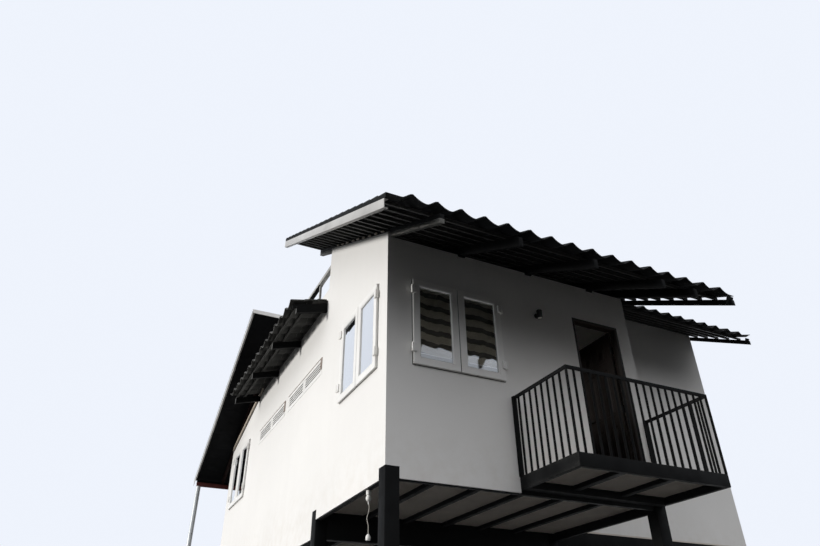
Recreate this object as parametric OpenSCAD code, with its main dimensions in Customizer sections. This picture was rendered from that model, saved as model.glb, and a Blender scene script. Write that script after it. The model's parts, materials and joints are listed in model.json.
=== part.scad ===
// House on square steel posts: a front block with a balcony, a main body behind it, a front
// roof that rises to the back, a roof terrace and a back roof that falls to the back.
// X runs along the front to the right, Y into the depth, Z up from the ground.
// Inside the modules X = 0 and Y = 0 are the outer faces of the front block at its left corner.

/* [Stilts] */
// Height of the underside of the front floor beams above the ground
floor_clear = 3100; // [2400:50:4000]
// Side of the square posts
post_w = 150; // [120:10:200]
// Side of the square foot plates
foot_w = 300; // [220:10:450]
// Thickness of the foot plates
foot_t = 16; // [8:1:30]

/* [Plan] */
// Width of the front block
block_w = 3450; // [3200:50:4200]
// Depth of the front block
block_d = 2000; // [1700:50:2600]
// Width of the main body
main_w = 7150; // [6200:50:9000]
// Depth of the main body
main_d = 5800; // [5600:50:7000]
// Thickness of the walls
wall_t = 100; // [70:5:150]
// Thickness of the boards that cover the floor beams
skirt_t = 20; // [10:1:30]

/* [Floor] */
// Depth of the floor beams under the front block
beam_h = 150; // [120:10:200]
// Depth of the main floor beams
girder_h = 350; // [250:10:450]
// Width of the beams around the front block
edge_w = 50; // [40:5:80]
// Width of the main floor beams
beam_w = 100; // [60:5:140]
// Height of the frames' top above the posts
post_drop = 30; // [10:5:40]
// Depth of the floor joists
joist_h = 95; // [80:5:110]
// Width of the floor joists
joist_w = 60; // [40:5:90]
// Spacing of the joists under the front block
joist_gap = 530; // [400:10:700]
// Bays between the joists under the main body
main_joist_bays = 9; // [5:1:14]
// Thickness of the floor boards
deck_t = 20; // [15:1:30]
// Thickness of the pale boards under the floor
soffit_t = 12; // [6:1:20]
// Height of these boards above the underside of the joists
soffit_up = 45; // [20:5:50]

/* [Balcony] */
// Distance from the right corner of the front block to the balcony
balcony_x = 35; // [0:5:60]
// Width of the balcony
balcony_w = 1905; // [1750:5:2100]
// Depth of the balcony
balcony_d = 945; // [800:5:1300]
// Depth of the balcony's edge channels
balcony_h = 130; // [100:5:150]
// Width of the balcony's edge channels
channel_w = 50; // [35:5:70]
// Width of the channel along the wall
wall_channel_w = 90; // [60:5:120]
// Height of the pale boards under the balcony above the channels' underside
balcony_soffit_up = 80; // [35:5:85]
// Width of the joists under the balcony
balcony_joist_w = 80; // [50:5:100]
// Height of the railing above the balcony floor
rail_h = 865; // [800:5:1100]
// Side of the square railing posts
rail_post = 20; // [20:1:50]
// Side of the railing posts that stand against the wall
wall_post = 40; // [30:1:60]
// Depth of the top rail
rail_t = 35; // [25:1:50]
// Side of the square balusters
baluster_w = 18; // [12:1:20]
// Gaps between the balusters along the front
front_gaps = 19; // [12:1:24]
// Gaps between the balusters along each side
side_gaps = 9; // [6:1:12]

/* [Doorway] */
// Distance from the right corner of the front block to the doorway
door_x = 190; // [170:5:220]
// Width of the doorway
door_w = 720; // [650:10:780]
// Height of the doorway above the floor
door_h = 2100; // [1950:10:2200]
// Width of the door frame
jamb_w = 35; // [25:1:50]
// Thickness of the door leaf
leaf_t = 38; // [30:1:45]

/* [Windows and vents] */
// Width of a window
win_w = 1140; // [900:10:1200]
// Height of a window
win_h = 1040; // [800:10:1100]
// Height of the front wall's top above the windows' heads
window_drop = 520; // [460:10:600]
// Distance from the corner to the front window
front_win_x = 300; // [250:5:320]
// Distance from the corner to the window beside it on the left wall
side_win_y = 240; // [230:5:400]
// Distance from the back corners to the windows near them
back_win_y = 390; // [300:10:450]
// Width of the fixed window frame
frame_w = 45; // [30:1:60]
// Depth of the fixed window frame
frame_d = 40; // [30:5:50]
// Width of the members of the sashes, which cover the fixed frame
sash_w = 86; // [60:1:100]
// Depth of the sashes
sash_d = 40; // [35:1:45]
// How far the sashes stand proud of the wall
sash_proud = 30; // [5:1:34]
// Thickness of the glass
glass_t = 5; // [4:1:8]
// Thickness of the blinds behind the front window
blind_t = 6; // [4:1:10]
// Height of the clear strip under the blinds
blind_up = 50; // [50:10:300]
// Height of a louvred vent
vent_h = 190; // [150:10:250]
// Height of the underside of the vents above the floor
vent_sill = 1760; // [1600:10:1850]
// Distance from the ends of the middle wall to the vents
vent_margin = 130; // [100:10:200]
// Gap between the vents of a pair
vent_mullion = 100; // [60:5:140]
// Gap between the two pairs of vents
vent_between = 260; // [180:10:340]
// Slats in each vent
vent_slats = 5; // [3:1:7]

/* [Front roof] */
// Height of the top of the front wall above the underside of its floor beams
front_wall_h = 2760; // [2650:10:3100]
// Pitch of the front roof and the back roof in degrees
roof_pitch = 27.5; // [25:0.5:30]
// Overhang of the eave in front of the front block
eave_over = 1200; // [900:10:1300]
// Overhang of the eave in front of the main body
wing_eave_over = 1070; // [900:10:1300]
// Overhang of the high end behind the upper wall
high_over = 740; // [500:10:900]
// Overhang on the left of the walls
left_over = 550; // [450:10:650]
// Overhang on the right of the front block
right_over = 590; // [450:10:700]
// Overhang of the tiles on the right of the main body
wing_over = 150; // [100:10:350]
// Spacing of the rafters over the front block
rafter_gap = 967; // [850:1:1100]
// Depth of the rafters
rafter_h = 100; // [80:5:130]
// Width of the rafters
rafter_w = 50; // [40:5:70]
// Depth of the bars along the right verges of the front roof
barge_h = 65; // [50:5:80]
// Distance from the left wall's face to the tube along its top
gable_in = 25; // [0:5:40]
// Depth of the tile battens
batten_h = 35; // [25:1:50]
// Width of the tile battens
batten_w = 40; // [30:1:60]
// Spacing of the tile battens along the slope
batten_gap = 235; // [200:5:260]
// Depth of the tile layer
tile_t = 80; // [60:5:100]
// Thickness of the verge channels
verge_t = 6; // [4:1:10]
// Width of the lips of the verge channels
verge_lip = 45; // [30:1:60]

/* [Middle and back] */
// Height of the terrace slab's underside above the front wall's top
terrace_h = 200; // [120:10:300]
// Thickness of the terrace slab
slab_t = 60; // [50:5:90]
// Depth of the rooms behind the terrace
back_room_d = 2200; // [2100:10:2400]
// Gap between the terrace rails and the rafters of the back roof
terrace_rail_gap = 22; // [15:1:60]
// Side of the terrace rail
terrace_rail_w = 60; // [40:5:80]
// Height of the upstand at the front of the terrace
upstand_h = 180; // [100:10:300]
// Length of the upstand
upstand_l = 520; // [300:10:560]
// Height of the terrace slab's underside above the back wall's top
back_wall_drop = 520; // [450:10:600]
// Overhang of the back roof's high end in front of the upper back wall
back_high_over = 650; // [400:10:800]
// Overhang of the back roof's low eave behind the back wall
back_eave_over = 1000; // [700:10:1200]
// Overhang of the back roof on the right of the main body
main_over = 600; // [500:10:650]
// Bays between the rafters of the back roof
back_bays = 8; // [6:1:10]
// Thickness of the back roof's sheet with its ribs
sheet_t = 40; // [25:5:60]
// Height of the ribs
rib_h = 18; // [10:1:20]
// Width of the ribs
rib_w = 60; // [40:5:90]
// Bays between the ribs
rib_bays = 25; // [18:1:32]
// Depth of the beam under the back roof's low eave
eave_beam_h = 80; // [60:5:120]
// Diameter of the pipe posts under that beam
pipe_d = 90; // [60:5:120]

/* [Side awning] */
// Projection of the awning's tiles from the wall
awning_out = 530; // [450:10:540]
// How far the awning runs past the terrace
awning_past = 300; // [100:10:400]
// Pitch of the awning in degrees
awning_pitch = 15; // [10:1:20]
// Depth of the awning's rafters
awning_rafter_h = 100; // [70:5:120]
// Thickness of the awning's tile layer
awning_tile_t = 60; // [40:5:80]

/* [Lamps] */
// Distance from the doorway to the wall lamp
lamp_x = 550; // [350:10:700]
// Height of the wall lamp's underside above the floor
lamp_up = 1930; // [1800:10:2000]
// Diameter of the wall lamp
lamp_d = 65; // [50:5:100]
// Height of the wall lamp
lamp_h = 110; // [90:5:220]
// Distance from the front to the lamp that hangs under the left beam
holder_y = 500; // [300:50:1200]
// Diameter of its holder
holder_d = 55; // [50:1:80]
// Height of its holder
holder_h = 106; // [90:1:140]
// Diameter of the hanging cord
cord_d = 8; // [6:1:10]
// Diameter of the socket at the end of the cord
socket_d = 50; // [40:1:60]
// Height of the socket at the end of the cord
socket_h = 72; // [50:1:80]

/* [Hidden] */

// Small amount by which cutting shapes run past the faces that they cut
over = 10;
// Levels above the ground
beam_top = floor_clear + beam_h;
floor_top = beam_top + deck_t;
girder_low = beam_top - girder_h;
post_top = beam_top - post_drop;
// Gap between the lower edge of the wall boards and the underside of the beams
skirt_gap = 8;
soffit_low = beam_top - joist_h + soffit_up;
front_wall_top = floor_clear + front_wall_h;
sill_z = front_wall_top - window_drop - win_h;
terrace_low = front_wall_top + terrace_h;
terrace_top = terrace_low + slab_t;
back_wall_top = terrace_low - back_wall_drop;
// Lines in plan
back_y = block_d + main_d;
post_rows = [block_d, block_d + main_d / 2 - post_w / 2, back_y - post_w];
post_cols = [0, block_w - post_w, main_w - post_w];
back_room_y = back_y - back_room_d;
terrace_y = [block_d + wall_t, back_room_y - wall_t];
door_left = block_w - door_x - door_w;
door_right = block_w - door_x;
balcony_x1 = block_w - balcony_x;
balcony_x0 = balcony_x1 - balcony_w;
// Slopes of the roofs, and what a thickness square to the slope measures straight up
rise = tan(roof_pitch);
up = 1 / cos(roof_pitch);
function front_plane(y) = front_wall_top + y * rise;
function back_plane(y) = back_wall_top + (back_y - y) * rise;
rafter_up = rafter_h * up;
batten_up = batten_h * up;
tile_low = rafter_up + batten_up;
tile_up = tile_t * up;
front_low_y = -eave_over;
wing_low_y = block_d - wing_eave_over;
front_high_y = block_d + wall_t + high_over;
roof_right_x = block_w + right_over;
wing_right_x = main_w + wing_over;
main_right_x = main_w + main_over;
back_high_y = terrace_y[1] - back_high_over;
back_low_y = back_y + back_eave_over;
// Centre of the whole outline, where the origin is
mid_x = (main_right_x - left_over) / 2;
mid_y = (back_low_y + front_low_y) / 2;

// Colours of the pieces
white = "#e9e7e3";
black = "#1d1e20";
grey = "#b9b8b5";
charcoal = "#2c2d30";
oxide = "#5b1f1e";
pale = "#a29b93";
door_brown = "#2e1f18";

module placed() { translate([-mid_x, -mid_y, 0]) children(); }
module span(x, y, z) {
    translate([x[0], y[0], z[0]]) cube([x[1] - x[0], y[1] - y[0], z[1] - z[0]]);
}
// A section drawn as depth and height, run along the width
module along_x(x) { translate([x[0], 0, 0]) rotate([90, 0, 90]) linear_extrude(x[1] - x[0]) children(); }
// A bar that follows the front roof between two heights above the rafters' underside
module front_slope(x, y, low, high) {
    along_x(x) polygon([
        [y[0], front_plane(y[0]) + low], [y[1], front_plane(y[1]) + low],
        [y[1], front_plane(y[1]) + high], [y[0], front_plane(y[0]) + high]]);
}
module back_slope(x, y, low, high) {
    along_x(x) polygon([
        [y[0], back_plane(y[0]) + low], [y[1], back_plane(y[1]) + low],
        [y[1], back_plane(y[1]) + high], [y[0], back_plane(y[0]) + high]]);
}

// Posts
module post(x, y) {
    span([x, x + post_w], [y, y + post_w], [0, post_top]);
    translate([x + (post_w - foot_w) / 2, y + (post_w - foot_w) / 2, 0]) cube([foot_w, foot_w, foot_t]);
    // Bearing between the boards that cover the frames
    right = (y == 0 ? block_w : main_w) - skirt_t;
    span([max(x, skirt_t), min(x + post_w, right)], [max(y, skirt_t), min(y + post_w, back_y - skirt_t)],
        [post_top, beam_top]);
}
module stilts() {
    color(black) {
        for (x = [post_cols[0], post_cols[1]]) post(x, 0);
        for (x = post_cols, y = post_rows) post(x, y);
    }
}
module post_cuts(top = post_top) {
    for (x = [post_cols[0], post_cols[1]]) span([x, x + post_w], [0, post_w], [0, top]);
    for (x = post_cols, y = post_rows) span([x, x + post_w], [y, y + post_w], [0, top]);
}

// Floor frames
edge = [skirt_t, skirt_t + edge_w];
joist_run = block_w - wall_t - post_w - joist_w / 2;
block_joist_x = [for (i = [1 : floor(joist_run / joist_gap)]) wall_t + i * joist_gap];
main_joist_x = [for (i = [1 : main_joist_bays - 1])
    skirt_t + beam_w / 2 + i * (main_w - 2 * skirt_t - beam_w) / main_joist_bays];
// The beams run between the posts
module floor_beams() {
    side = [skirt_t, skirt_t + beam_w];
    low = [floor_clear, beam_top];
    deep = [girder_low, beam_top];
    middle = post_rows[1] + (post_w - beam_w) / 2;
    color(black) difference() {
        union() {
            span([post_w, block_w - post_w], edge, low);
            for (x = [edge[0], block_w - edge[1]]) span([x, x + edge_w], [post_w, block_d], low);
            for (y = [block_d, back_y - side[1]]) span([skirt_t, main_w - skirt_t], [y, y + beam_w], deep);
            for (x = [skirt_t, main_w - side[1]], i = [0, 1])
                span([x, x + beam_w], [post_rows[i] + post_w, post_rows[i + 1]], deep);
            span([post_w, main_w - post_w], [middle, middle + beam_w], [girder_low, beam_top - joist_h]);
        }
        post_cuts(beam_top);
    }
}
module floor_joists() {
    z = [beam_top - joist_h, beam_top];
    color(black) {
        for (x = block_joist_x) span([x - joist_w / 2, x + joist_w / 2], [edge[1], block_d], z);
        for (x = main_joist_x) span([x - joist_w / 2, x + joist_w / 2],
            [block_d + beam_w, back_y - skirt_t - beam_w], z);
    }
}
// Pale boards between the joists of the front block and of the balcony
module soffit_boards() {
    left = concat([edge[1]], [for (x = block_joist_x) x + joist_w / 2]);
    right = concat([for (x = block_joist_x) x - joist_w / 2], [block_w - edge[1]]);
    color(pale) {
        difference() {
            for (i = [0 : len(left) - 1])
                span([left[i], right[i]], [edge[1], block_d], [soffit_low, soffit_low + soffit_t]);
            post_cuts();
        }
        for (i = [0 : 2]) span([balcony_left[i], balcony_right[i]], [channel_w - balcony_d, -wall_channel_w],
            [balcony_soffit_low, balcony_soffit_low + soffit_t]);
    }
}
module floor() {
    z = [beam_top, floor_top];
    color(pale) {
        span([door_left, door_right], [0, wall_t], z);
        span([wall_t, block_w - wall_t], [wall_t, block_d], z);
        span([wall_t, main_w - wall_t], [block_d, back_y - wall_t], z);
        span([block_w, main_w], [block_d, block_d + wall_t], z);
    }
}

// Balcony
balcony_low = floor_top - balcony_h;
balcony_joist_x = [for (i = [1 : 2]) balcony_x0 + i * balcony_w / 3];
balcony_soffit_low = balcony_low + balcony_soffit_up;
// Left and right edges of the bays between the balcony's joists
balcony_left = concat([balcony_x0 + channel_w], [for (x = balcony_joist_x) x + balcony_joist_w / 2]);
balcony_right = concat([for (x = balcony_joist_x) x - balcony_joist_w / 2], [balcony_x1 - channel_w]);
module balcony_frame() {
    z = [balcony_low, floor_top];
    color(black) difference() {
        union() {
            span([balcony_x0, balcony_x1], [-balcony_d, channel_w - balcony_d], z);
            span([balcony_x0, balcony_x1], [-wall_channel_w, skirt_t], [balcony_low, floor_top - deck_t]);
            for (x = [balcony_x0, balcony_x1 - channel_w]) span([x, x + channel_w], [-balcony_d, 0], z);
            for (x = balcony_joist_x)
                span([x - balcony_joist_w / 2, x + balcony_joist_w / 2], [-balcony_d, 0],
                    [balcony_soffit_low - soffit_up, floor_top - deck_t]);
        }
        post_cuts();
    }
}
module balcony_floor() {
    color(pale) span([balcony_x0 + channel_w, balcony_x1 - channel_w], [channel_w - balcony_d, 0],
        [floor_top - deck_t, floor_top]);
}

// Railing
rail_top = floor_top + rail_h;
module balusters(length, gaps) {
    step = length / gaps;
    for (i = [1 : gaps - 1])
        translate([i * step - baluster_w / 2, (rail_post - baluster_w) / 2, floor_top])
            cube([baluster_w, baluster_w, rail_h - rail_t]);
}
module railing_front() {
    color(black) translate([balcony_x0, -balcony_d, 0]) {
        for (x = [0, balcony_w - rail_post])
            translate([x, 0, floor_top]) cube([rail_post, rail_post, rail_h]);
        translate([0, 0, rail_top - rail_t]) cube([balcony_w, rail_post, rail_t]);
        balusters(balcony_w, front_gaps);
    }
}
// A side railing starts behind the corner post and ends on the wall
module railing_side() {
    length = balcony_d - rail_post;
    translate([length - wall_post, (rail_post - wall_post) / 2, floor_top])
        cube([wall_post, wall_post, rail_h]);
    translate([0, 0, rail_top - rail_t]) cube([length, rail_post, rail_t]);
    balusters(length, side_gaps);
}
module railing_left() {
    color(black) translate([balcony_x0 + rail_post, rail_post - balcony_d, 0]) rotate(90) railing_side();
}
module railing_right() {
    color(black) translate([balcony_x1, rail_post - balcony_d, 0]) rotate(90) railing_side();
}

// Walls
module front_profile(y, z0) {
    polygon([[y[0], z0], [y[1], z0], [y[1], front_plane(y[1])], [y[0], front_plane(y[0])]]);
}
front_skirt_low = floor_clear + skirt_gap;
main_skirt_low = girder_low + skirt_gap;
module window_hole() { translate([0, -over, 0]) cube([win_w, wall_t + 2 * over, win_h]); }
module front_window_place() { translate([front_win_x, 0, sill_z]) children(); }
module left_place(y) { translate([0, y + win_w, sill_z]) rotate(-90) children(); }
module right_place(y) { translate([main_w, y, sill_z]) rotate(90) children(); }
module back_place(x) { translate([x + win_w, back_y, sill_z]) rotate(180) children(); }
left_win_y = [side_win_y, back_y - back_win_y - win_w];
right_win_y = [block_d + wall_t + 2 * side_win_y, left_win_y[1]];
back_win_x = [main_w / 4 - win_w / 2, 3 * main_w / 4 - win_w / 2];

module front_wall() {
    color(white) difference() {
        union() {
            along_x([0, door_left]) front_profile([0, wall_t], beam_top);
            span([0, balcony_x0], [0, skirt_t], [front_skirt_low, beam_top]);
        }
        front_window_place() window_hole();
        post_cuts();
    }
}
module front_wall_over_door() {
    color(white) along_x([door_left, door_right]) front_profile([0, wall_t], floor_top + door_h);
}
module front_wall_corner() {
    color(white) along_x([door_right, block_w]) front_profile([0, wall_t], beam_top);
}
module block_side_walls() {
    color(white) difference() {
        union() {
            along_x([0, wall_t]) front_profile([wall_t, block_d + wall_t], beam_top);
            // Its outer face also covers the lower half of the tube along the top
            front_slope([0, gable_in], [0, block_d + wall_t], 0, rafter_up / 2);
            span([0, skirt_t], [skirt_t, block_d], [front_skirt_low, beam_top]);
            along_x([block_w - wall_t, block_w]) front_profile([wall_t, block_d], beam_top);
            span([block_w - skirt_t, block_w], [0, block_d], [front_skirt_low, beam_top]);
        }
        left_place(left_win_y[0]) window_hole();
        post_cuts();
    }
}
module left_wall_middle() {
    color(white) difference() {
        union() {
            span([0, wall_t], [block_d + wall_t, back_room_y], [beam_top, terrace_low]);
            span([0, skirt_t], [block_d, back_room_y], [main_skirt_low, beam_top]);
        }
        vent_places() translate([0, -over, 0]) cube([vent_w, wall_t + 2 * over, vent_h]);
        post_cuts();
    }
}
// The back of a side wall, whose top falls to the back wall's top
module side_back_wall() {
    along_x([0, wall_t]) polygon([[back_room_y, beam_top], [back_y - wall_t, beam_top],
        [back_y - wall_t, back_side_top(back_y - wall_t)], [back_room_y, terrace_top]]);
    span([0, skirt_t], [back_room_y, back_y], [main_skirt_low, beam_top]);
}
function back_side_top(y) =
    terrace_top + (y - back_room_y) * (back_wall_top - terrace_top) / (back_y - back_room_y);
module left_wall_back() {
    color(white) difference() {
        side_back_wall();
        left_place(left_win_y[1]) window_hole();
        post_cuts();
    }
}
module right_wall() {
    color(white) difference() {
        translate([main_w, 0, 0]) mirror([1, 0, 0]) {
            side_back_wall();
            span([0, wall_t], [block_d + wall_t, back_room_y], [beam_top, terrace_low]);
            span([0, skirt_t], [block_d, back_room_y], [main_skirt_low, beam_top]);
        }
        for (y = right_win_y) right_place(y) window_hole();
        post_cuts();
    }
}
// Beside the front block this wall rises between the battens to the tiles
module wing_front_wall() {
    y = [block_d, block_d + wall_t];
    color(white) {
        along_x([block_w - wall_t, main_w]) front_profile(y, floor_top);
        front_slope([block_w, main_w], y, 0, tile_low);
    }
}
// The walls that close the terrace in front and behind
module terrace_walls() {
    y = [terrace_y[1], back_room_y];
    color(white) {
        along_x([wall_t, block_w - wall_t]) front_profile([block_d, block_d + wall_t], terrace_low);
        along_x([0, main_w]) polygon([
            [y[0], terrace_low], [y[1], terrace_low], [y[1], back_plane(y[1])], [y[0], back_plane(y[0])]]);
    }
}
module back_wall() {
    y = [back_y - wall_t, back_y];
    color(white) difference() {
        union() {
            along_x([0, main_w]) polygon([
                [y[0], beam_top], [y[1], beam_top], [y[1], back_plane(y[1])], [y[0], back_plane(y[0])]]);
            span([skirt_t, main_w - skirt_t], [back_y - skirt_t, back_y], [main_skirt_low, beam_top]);
        }
        for (x = back_win_x) back_place(x) window_hole();
        post_cuts();
    }
}

// Door
module door_frame() {
    y = [0, wall_t];
    z1 = floor_top + door_h;
    color(door_brown) {
        for (x = [door_left, door_right - jamb_w]) span([x, x + jamb_w], y, [floor_top, z1]);
        span([door_left, door_right], y, [z1 - jamb_w, z1]);
    }
}
// The leaf stands open into the room, square to the wall, on three hinge plates behind the right jamb
leaf_gap = 3;
hinge_h = 100;
hinge_shares = [0.1, 0.5, 0.9];
module door_leaf() {
    x = door_right - jamb_w;
    z = [floor_top + leaf_gap, floor_top + door_h - jamb_w - leaf_gap];
    color(door_brown) {
        span([x - leaf_t, x], [wall_t + leaf_gap, wall_t + leaf_gap + door_w - 2 * jamb_w], z);
        for (k = hinge_shares)
            translate([x - leaf_t, wall_t, z[0] + k * (z[1] - z[0] - hinge_h)])
                cube([leaf_t + jamb_w, leaf_gap, hinge_h]);
    }
}

// Windows, drawn with X along the wall, Y into it and Z up from the sill
module ring(x, z, border, depth) {
    difference() {
        cube([x, depth, z]);
        translate([border, -over, border]) cube([x - 2 * border, depth + 2 * over, z - 2 * border]);
    }
}
pane = [win_w / 2 - 2 * sash_w, win_h - 2 * sash_w];
glass_y = (sash_d - glass_t) / 2 - sash_proud;
module window() {
    translate([0, sash_d - sash_proud, 0]) ring(win_w, win_h, frame_w, frame_d);
    for (i = [0, 1]) translate([i * win_w / 2, -sash_proud, 0]) ring(win_w / 2, win_h, sash_w, sash_d);
}
module panes(y, t, low) {
    for (i = [0, 1]) translate([i * win_w / 2 + sash_w, y, sash_w + low]) cube([pane[0], t, pane[1] - low]);
}
module glass() { panes(glass_y, glass_t, 0); }
module front_window() { color("white") front_window_place() window(); }
module left_windows() { color("white") for (y = left_win_y) left_place(y) window(); }
module right_windows() { color("white") for (y = right_win_y) right_place(y) window(); }
module back_windows() { color("white") for (x = back_win_x) back_place(x) window(); }
module window_glass() {
    color("#9fb0b4") {
        front_window_place() glass();
        for (y = left_win_y) left_place(y) glass();
        for (y = right_win_y) right_place(y) glass();
        for (x = back_win_x) back_place(x) glass();
    }
}
module window_blinds() {
    color("#b4aca0") front_window_place() panes(glass_y + glass_t, blind_t, blind_up);
}

// Louvred vents, two pairs in a row behind the front block
vent_w = (terrace_y[1] + wall_t - terrace_y[0] - 2 * vent_margin - 2 * vent_mullion - vent_between) / 4;
vent_y = [for (i = [0 : 3]) terrace_y[0] + vent_margin + i * vent_w
    + (i % 2 + floor(i / 2)) * vent_mullion + floor(i / 2) * vent_between];
module vent_places() {
    for (i = [0 : 3]) translate([0, vent_y[i] + vent_w, floor_top + vent_sill]) rotate(-90) children();
}
vent_edge = 14;
// Thickness and lift of a slat as shares of the slats' spacing, and its distance from the wall's faces
slat_share = 0.2;
lift_share = 0.4;
slat_in = 10;
module left_vents() {
    gap = vent_h / vent_slats;
    color("#d9d3c8") vent_places() {
        ring(vent_w, vent_h, vent_edge, wall_t);
        for (k = [0 : vent_slats - 1]) translate([vent_edge, 0, (k + 0.5) * gap])
            rotate([0, 90, 0]) linear_extrude(vent_w - 2 * vent_edge) polygon([
                [0, slat_in], [slat_share * gap, slat_in],
                [(slat_share - lift_share) * gap, wall_t - slat_in], [-lift_share * gap, wall_t - slat_in]]);
    }
}

// Front roof
last_rafter_x = block_w - rafter_w;
block_rafter_x = concat(
    [for (i = [1 : floor((last_rafter_x - rafter_w) / rafter_gap)]) i * rafter_gap], [last_rafter_x]);
wing_bays = 4;
wing_rafter_x = [for (i = [1 : wing_bays]) block_w + i * (main_w - block_w) / wing_bays - rafter_w / 2];
rafter_y = [front_low_y + verge_t, front_high_y - verge_lip];
gable_x = [gable_in, gable_in + rafter_w];
module front_rafters() {
    color(black) {
        front_slope(gable_x, rafter_y, rafter_up / 2, rafter_up);
        for (x = block_rafter_x) front_slope([x - rafter_w / 2, x + rafter_w / 2], rafter_y, 0, rafter_up);
        // Behind the wing's front wall, which carries the battens itself
        for (x = wing_rafter_x) front_slope([x - rafter_w / 2, x + rafter_w / 2],
            [block_d + wall_t, rafter_y[1]], 0, rafter_up);
        front_slope([roof_right_x - rafter_w, roof_right_x], [rafter_y[0], wing_low_y],
            rafter_up - barge_h * up, rafter_up);
        front_slope([wing_right_x - rafter_w, wing_right_x], [wing_low_y + verge_t, rafter_y[1]],
            rafter_up - barge_h * up, rafter_up);
    }
}
// Rows of battens, the same on both sides of the wing's front wall
batten_step = batten_gap * cos(roof_pitch);
batten_mid = block_d + wall_t / 2;
batten_before = floor((batten_mid - batten_w / 2 - front_low_y) / batten_step - 1 / 2);
batten_behind = floor((front_high_y - batten_mid - batten_w / 2) / batten_step - 1 / 2);
module front_battens() {
    color(black) for (i = [-batten_before - 1 : batten_behind]) {
        y = batten_mid + (i + 1 / 2) * batten_step - batten_w / 2;
        front_slope([-left_over + verge_t, (y > wing_low_y ? wing_right_x : roof_right_x) - verge_t],
            [y, y + batten_w], rafter_up, rafter_up + batten_up);
    }
}
module front_roof_tiles() {
    color(charcoal) front_slope([-left_over, roof_right_x], [front_low_y, front_high_y],
        tile_low, tile_low + tile_up);
}
module wing_roof_tiles() {
    color(charcoal) front_slope([roof_right_x, wing_right_x], [wing_low_y, front_high_y],
        tile_low, tile_low + tile_up);
}
// A channel along the left verge of the front roof, with its lips turned in towards the roof
module front_verge(y) {
    lips = [-left_over, verge_lip - left_over];
    thick = verge_t * up;
    front_slope([-left_over, verge_t - left_over], y, 0, rafter_up);
    front_slope(lips, y, 0, thick);
    front_slope(lips, y, rafter_up - thick, rafter_up);
}
// A verge of the back roof on its left, where way is 1, or on its right
module back_verge(x, y, way) {
    web = way > 0 ? [x, x + verge_t] : [x - verge_t, x];
    lips = way > 0 ? [x, x + verge_lip] : [x - verge_lip, x];
    thick = verge_t * up;
    back_slope(web, y, 0, rafter_up);
    back_slope(lips, y, rafter_up - thick, rafter_up);
}
module verge_channels() {
    color(grey) {
        front_verge([front_low_y + verge_lip, front_high_y]);
        front_slope(gable_x, rafter_y, 0, rafter_up / 2);
        back_verge(-left_over, [back_high_y, back_low_y], 1);
        back_verge(main_right_x, [back_high_y, back_low_y], -1);
    }
}

// Side awning, whose tiles meet the wall level with the top of the terrace
awning_start = 20;
awning_y = [terrace_y[0] + awning_start, back_room_y + awning_past];
awning_fall = tan(awning_pitch);
awning_up = 1 / cos(awning_pitch);
function awning_plane(x) = terrace_top + x * awning_fall;
module awning_slope(x, y, low, high) {
    translate([0, y[1], 0]) rotate([90, 0, 0]) linear_extrude(y[1] - y[0]) polygon([
        [x[0], awning_plane(x[0]) + low], [x[1], awning_plane(x[1]) + low],
        [x[1], awning_plane(x[1]) + high], [x[0], awning_plane(x[0]) + high]]);
}
awning_batten_h = 20;
awning_bays = 3;
module awning_frame() {
    out = awning_out - 2 * verge_lip;
    step = (awning_y[1] - awning_y[0] - rafter_w) / awning_bays;
    rafters = [for (i = [0 : awning_bays]) awning_y[0] + i * step];
    low = -(awning_tile_t + awning_batten_h + awning_rafter_h) * awning_up;
    middle = low + awning_rafter_h * awning_up;
    color(black) {
        for (y = rafters) awning_slope([-out, 0], [y, y + rafter_w], low, middle);
        for (x = [out - batten_w, out / 2])
            awning_slope([-x - batten_w, -x], awning_y, middle, -awning_tile_t * awning_up);
    }
}
module awning_tiles() {
    color(charcoal) awning_slope([-awning_out, 0], awning_y, -awning_tile_t * awning_up, 0);
}

// Back roof
back_rafter_x = [for (i = [0 : back_bays]) rafter_w / 2 + i * (main_w - rafter_w) / back_bays];
eave_beam_y = back_low_y - 2 * verge_lip - rafter_w;
eave_beam_top = back_plane(eave_beam_y + rafter_w);
module back_roof_frame() {
    color(oxide) {
        for (x = back_rafter_x) back_slope([x - rafter_w / 2, x + rafter_w / 2],
            [back_high_y + verge_lip, back_low_y - verge_lip], 0, rafter_up);
        span([verge_lip - left_over, main_right_x - verge_lip], [eave_beam_y, eave_beam_y + rafter_w],
            [eave_beam_top - eave_beam_h, eave_beam_top]);
    }
}
module back_roof_sheet() {
    y = [back_high_y, back_low_y];
    step = (main_right_x + left_over - 2 * rib_w) / rib_bays;
    color(charcoal) {
        back_slope([-left_over, main_right_x], y, rafter_up, rafter_up + (sheet_t - rib_h) * up);
        for (i = [0 : rib_bays]) translate([rib_w / 2 + i * step - left_over, 0, 0])
            back_slope([0, rib_w], y, rafter_up, rafter_up + sheet_t * up);
    }
}
module pipe_posts() {
    color("#8c8f90") for (x = [pipe_d - left_over, main_w / 2, main_right_x - pipe_d])
        translate([x, eave_beam_y + rafter_w / 2, 0]) {
            translate([0, 0, foot_t])
                cylinder(d = pipe_d, h = eave_beam_top - eave_beam_h - foot_t, $fn = 48);
            cylinder(d = 2 * pipe_d, h = foot_t, $fn = 48);
        }
}

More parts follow.
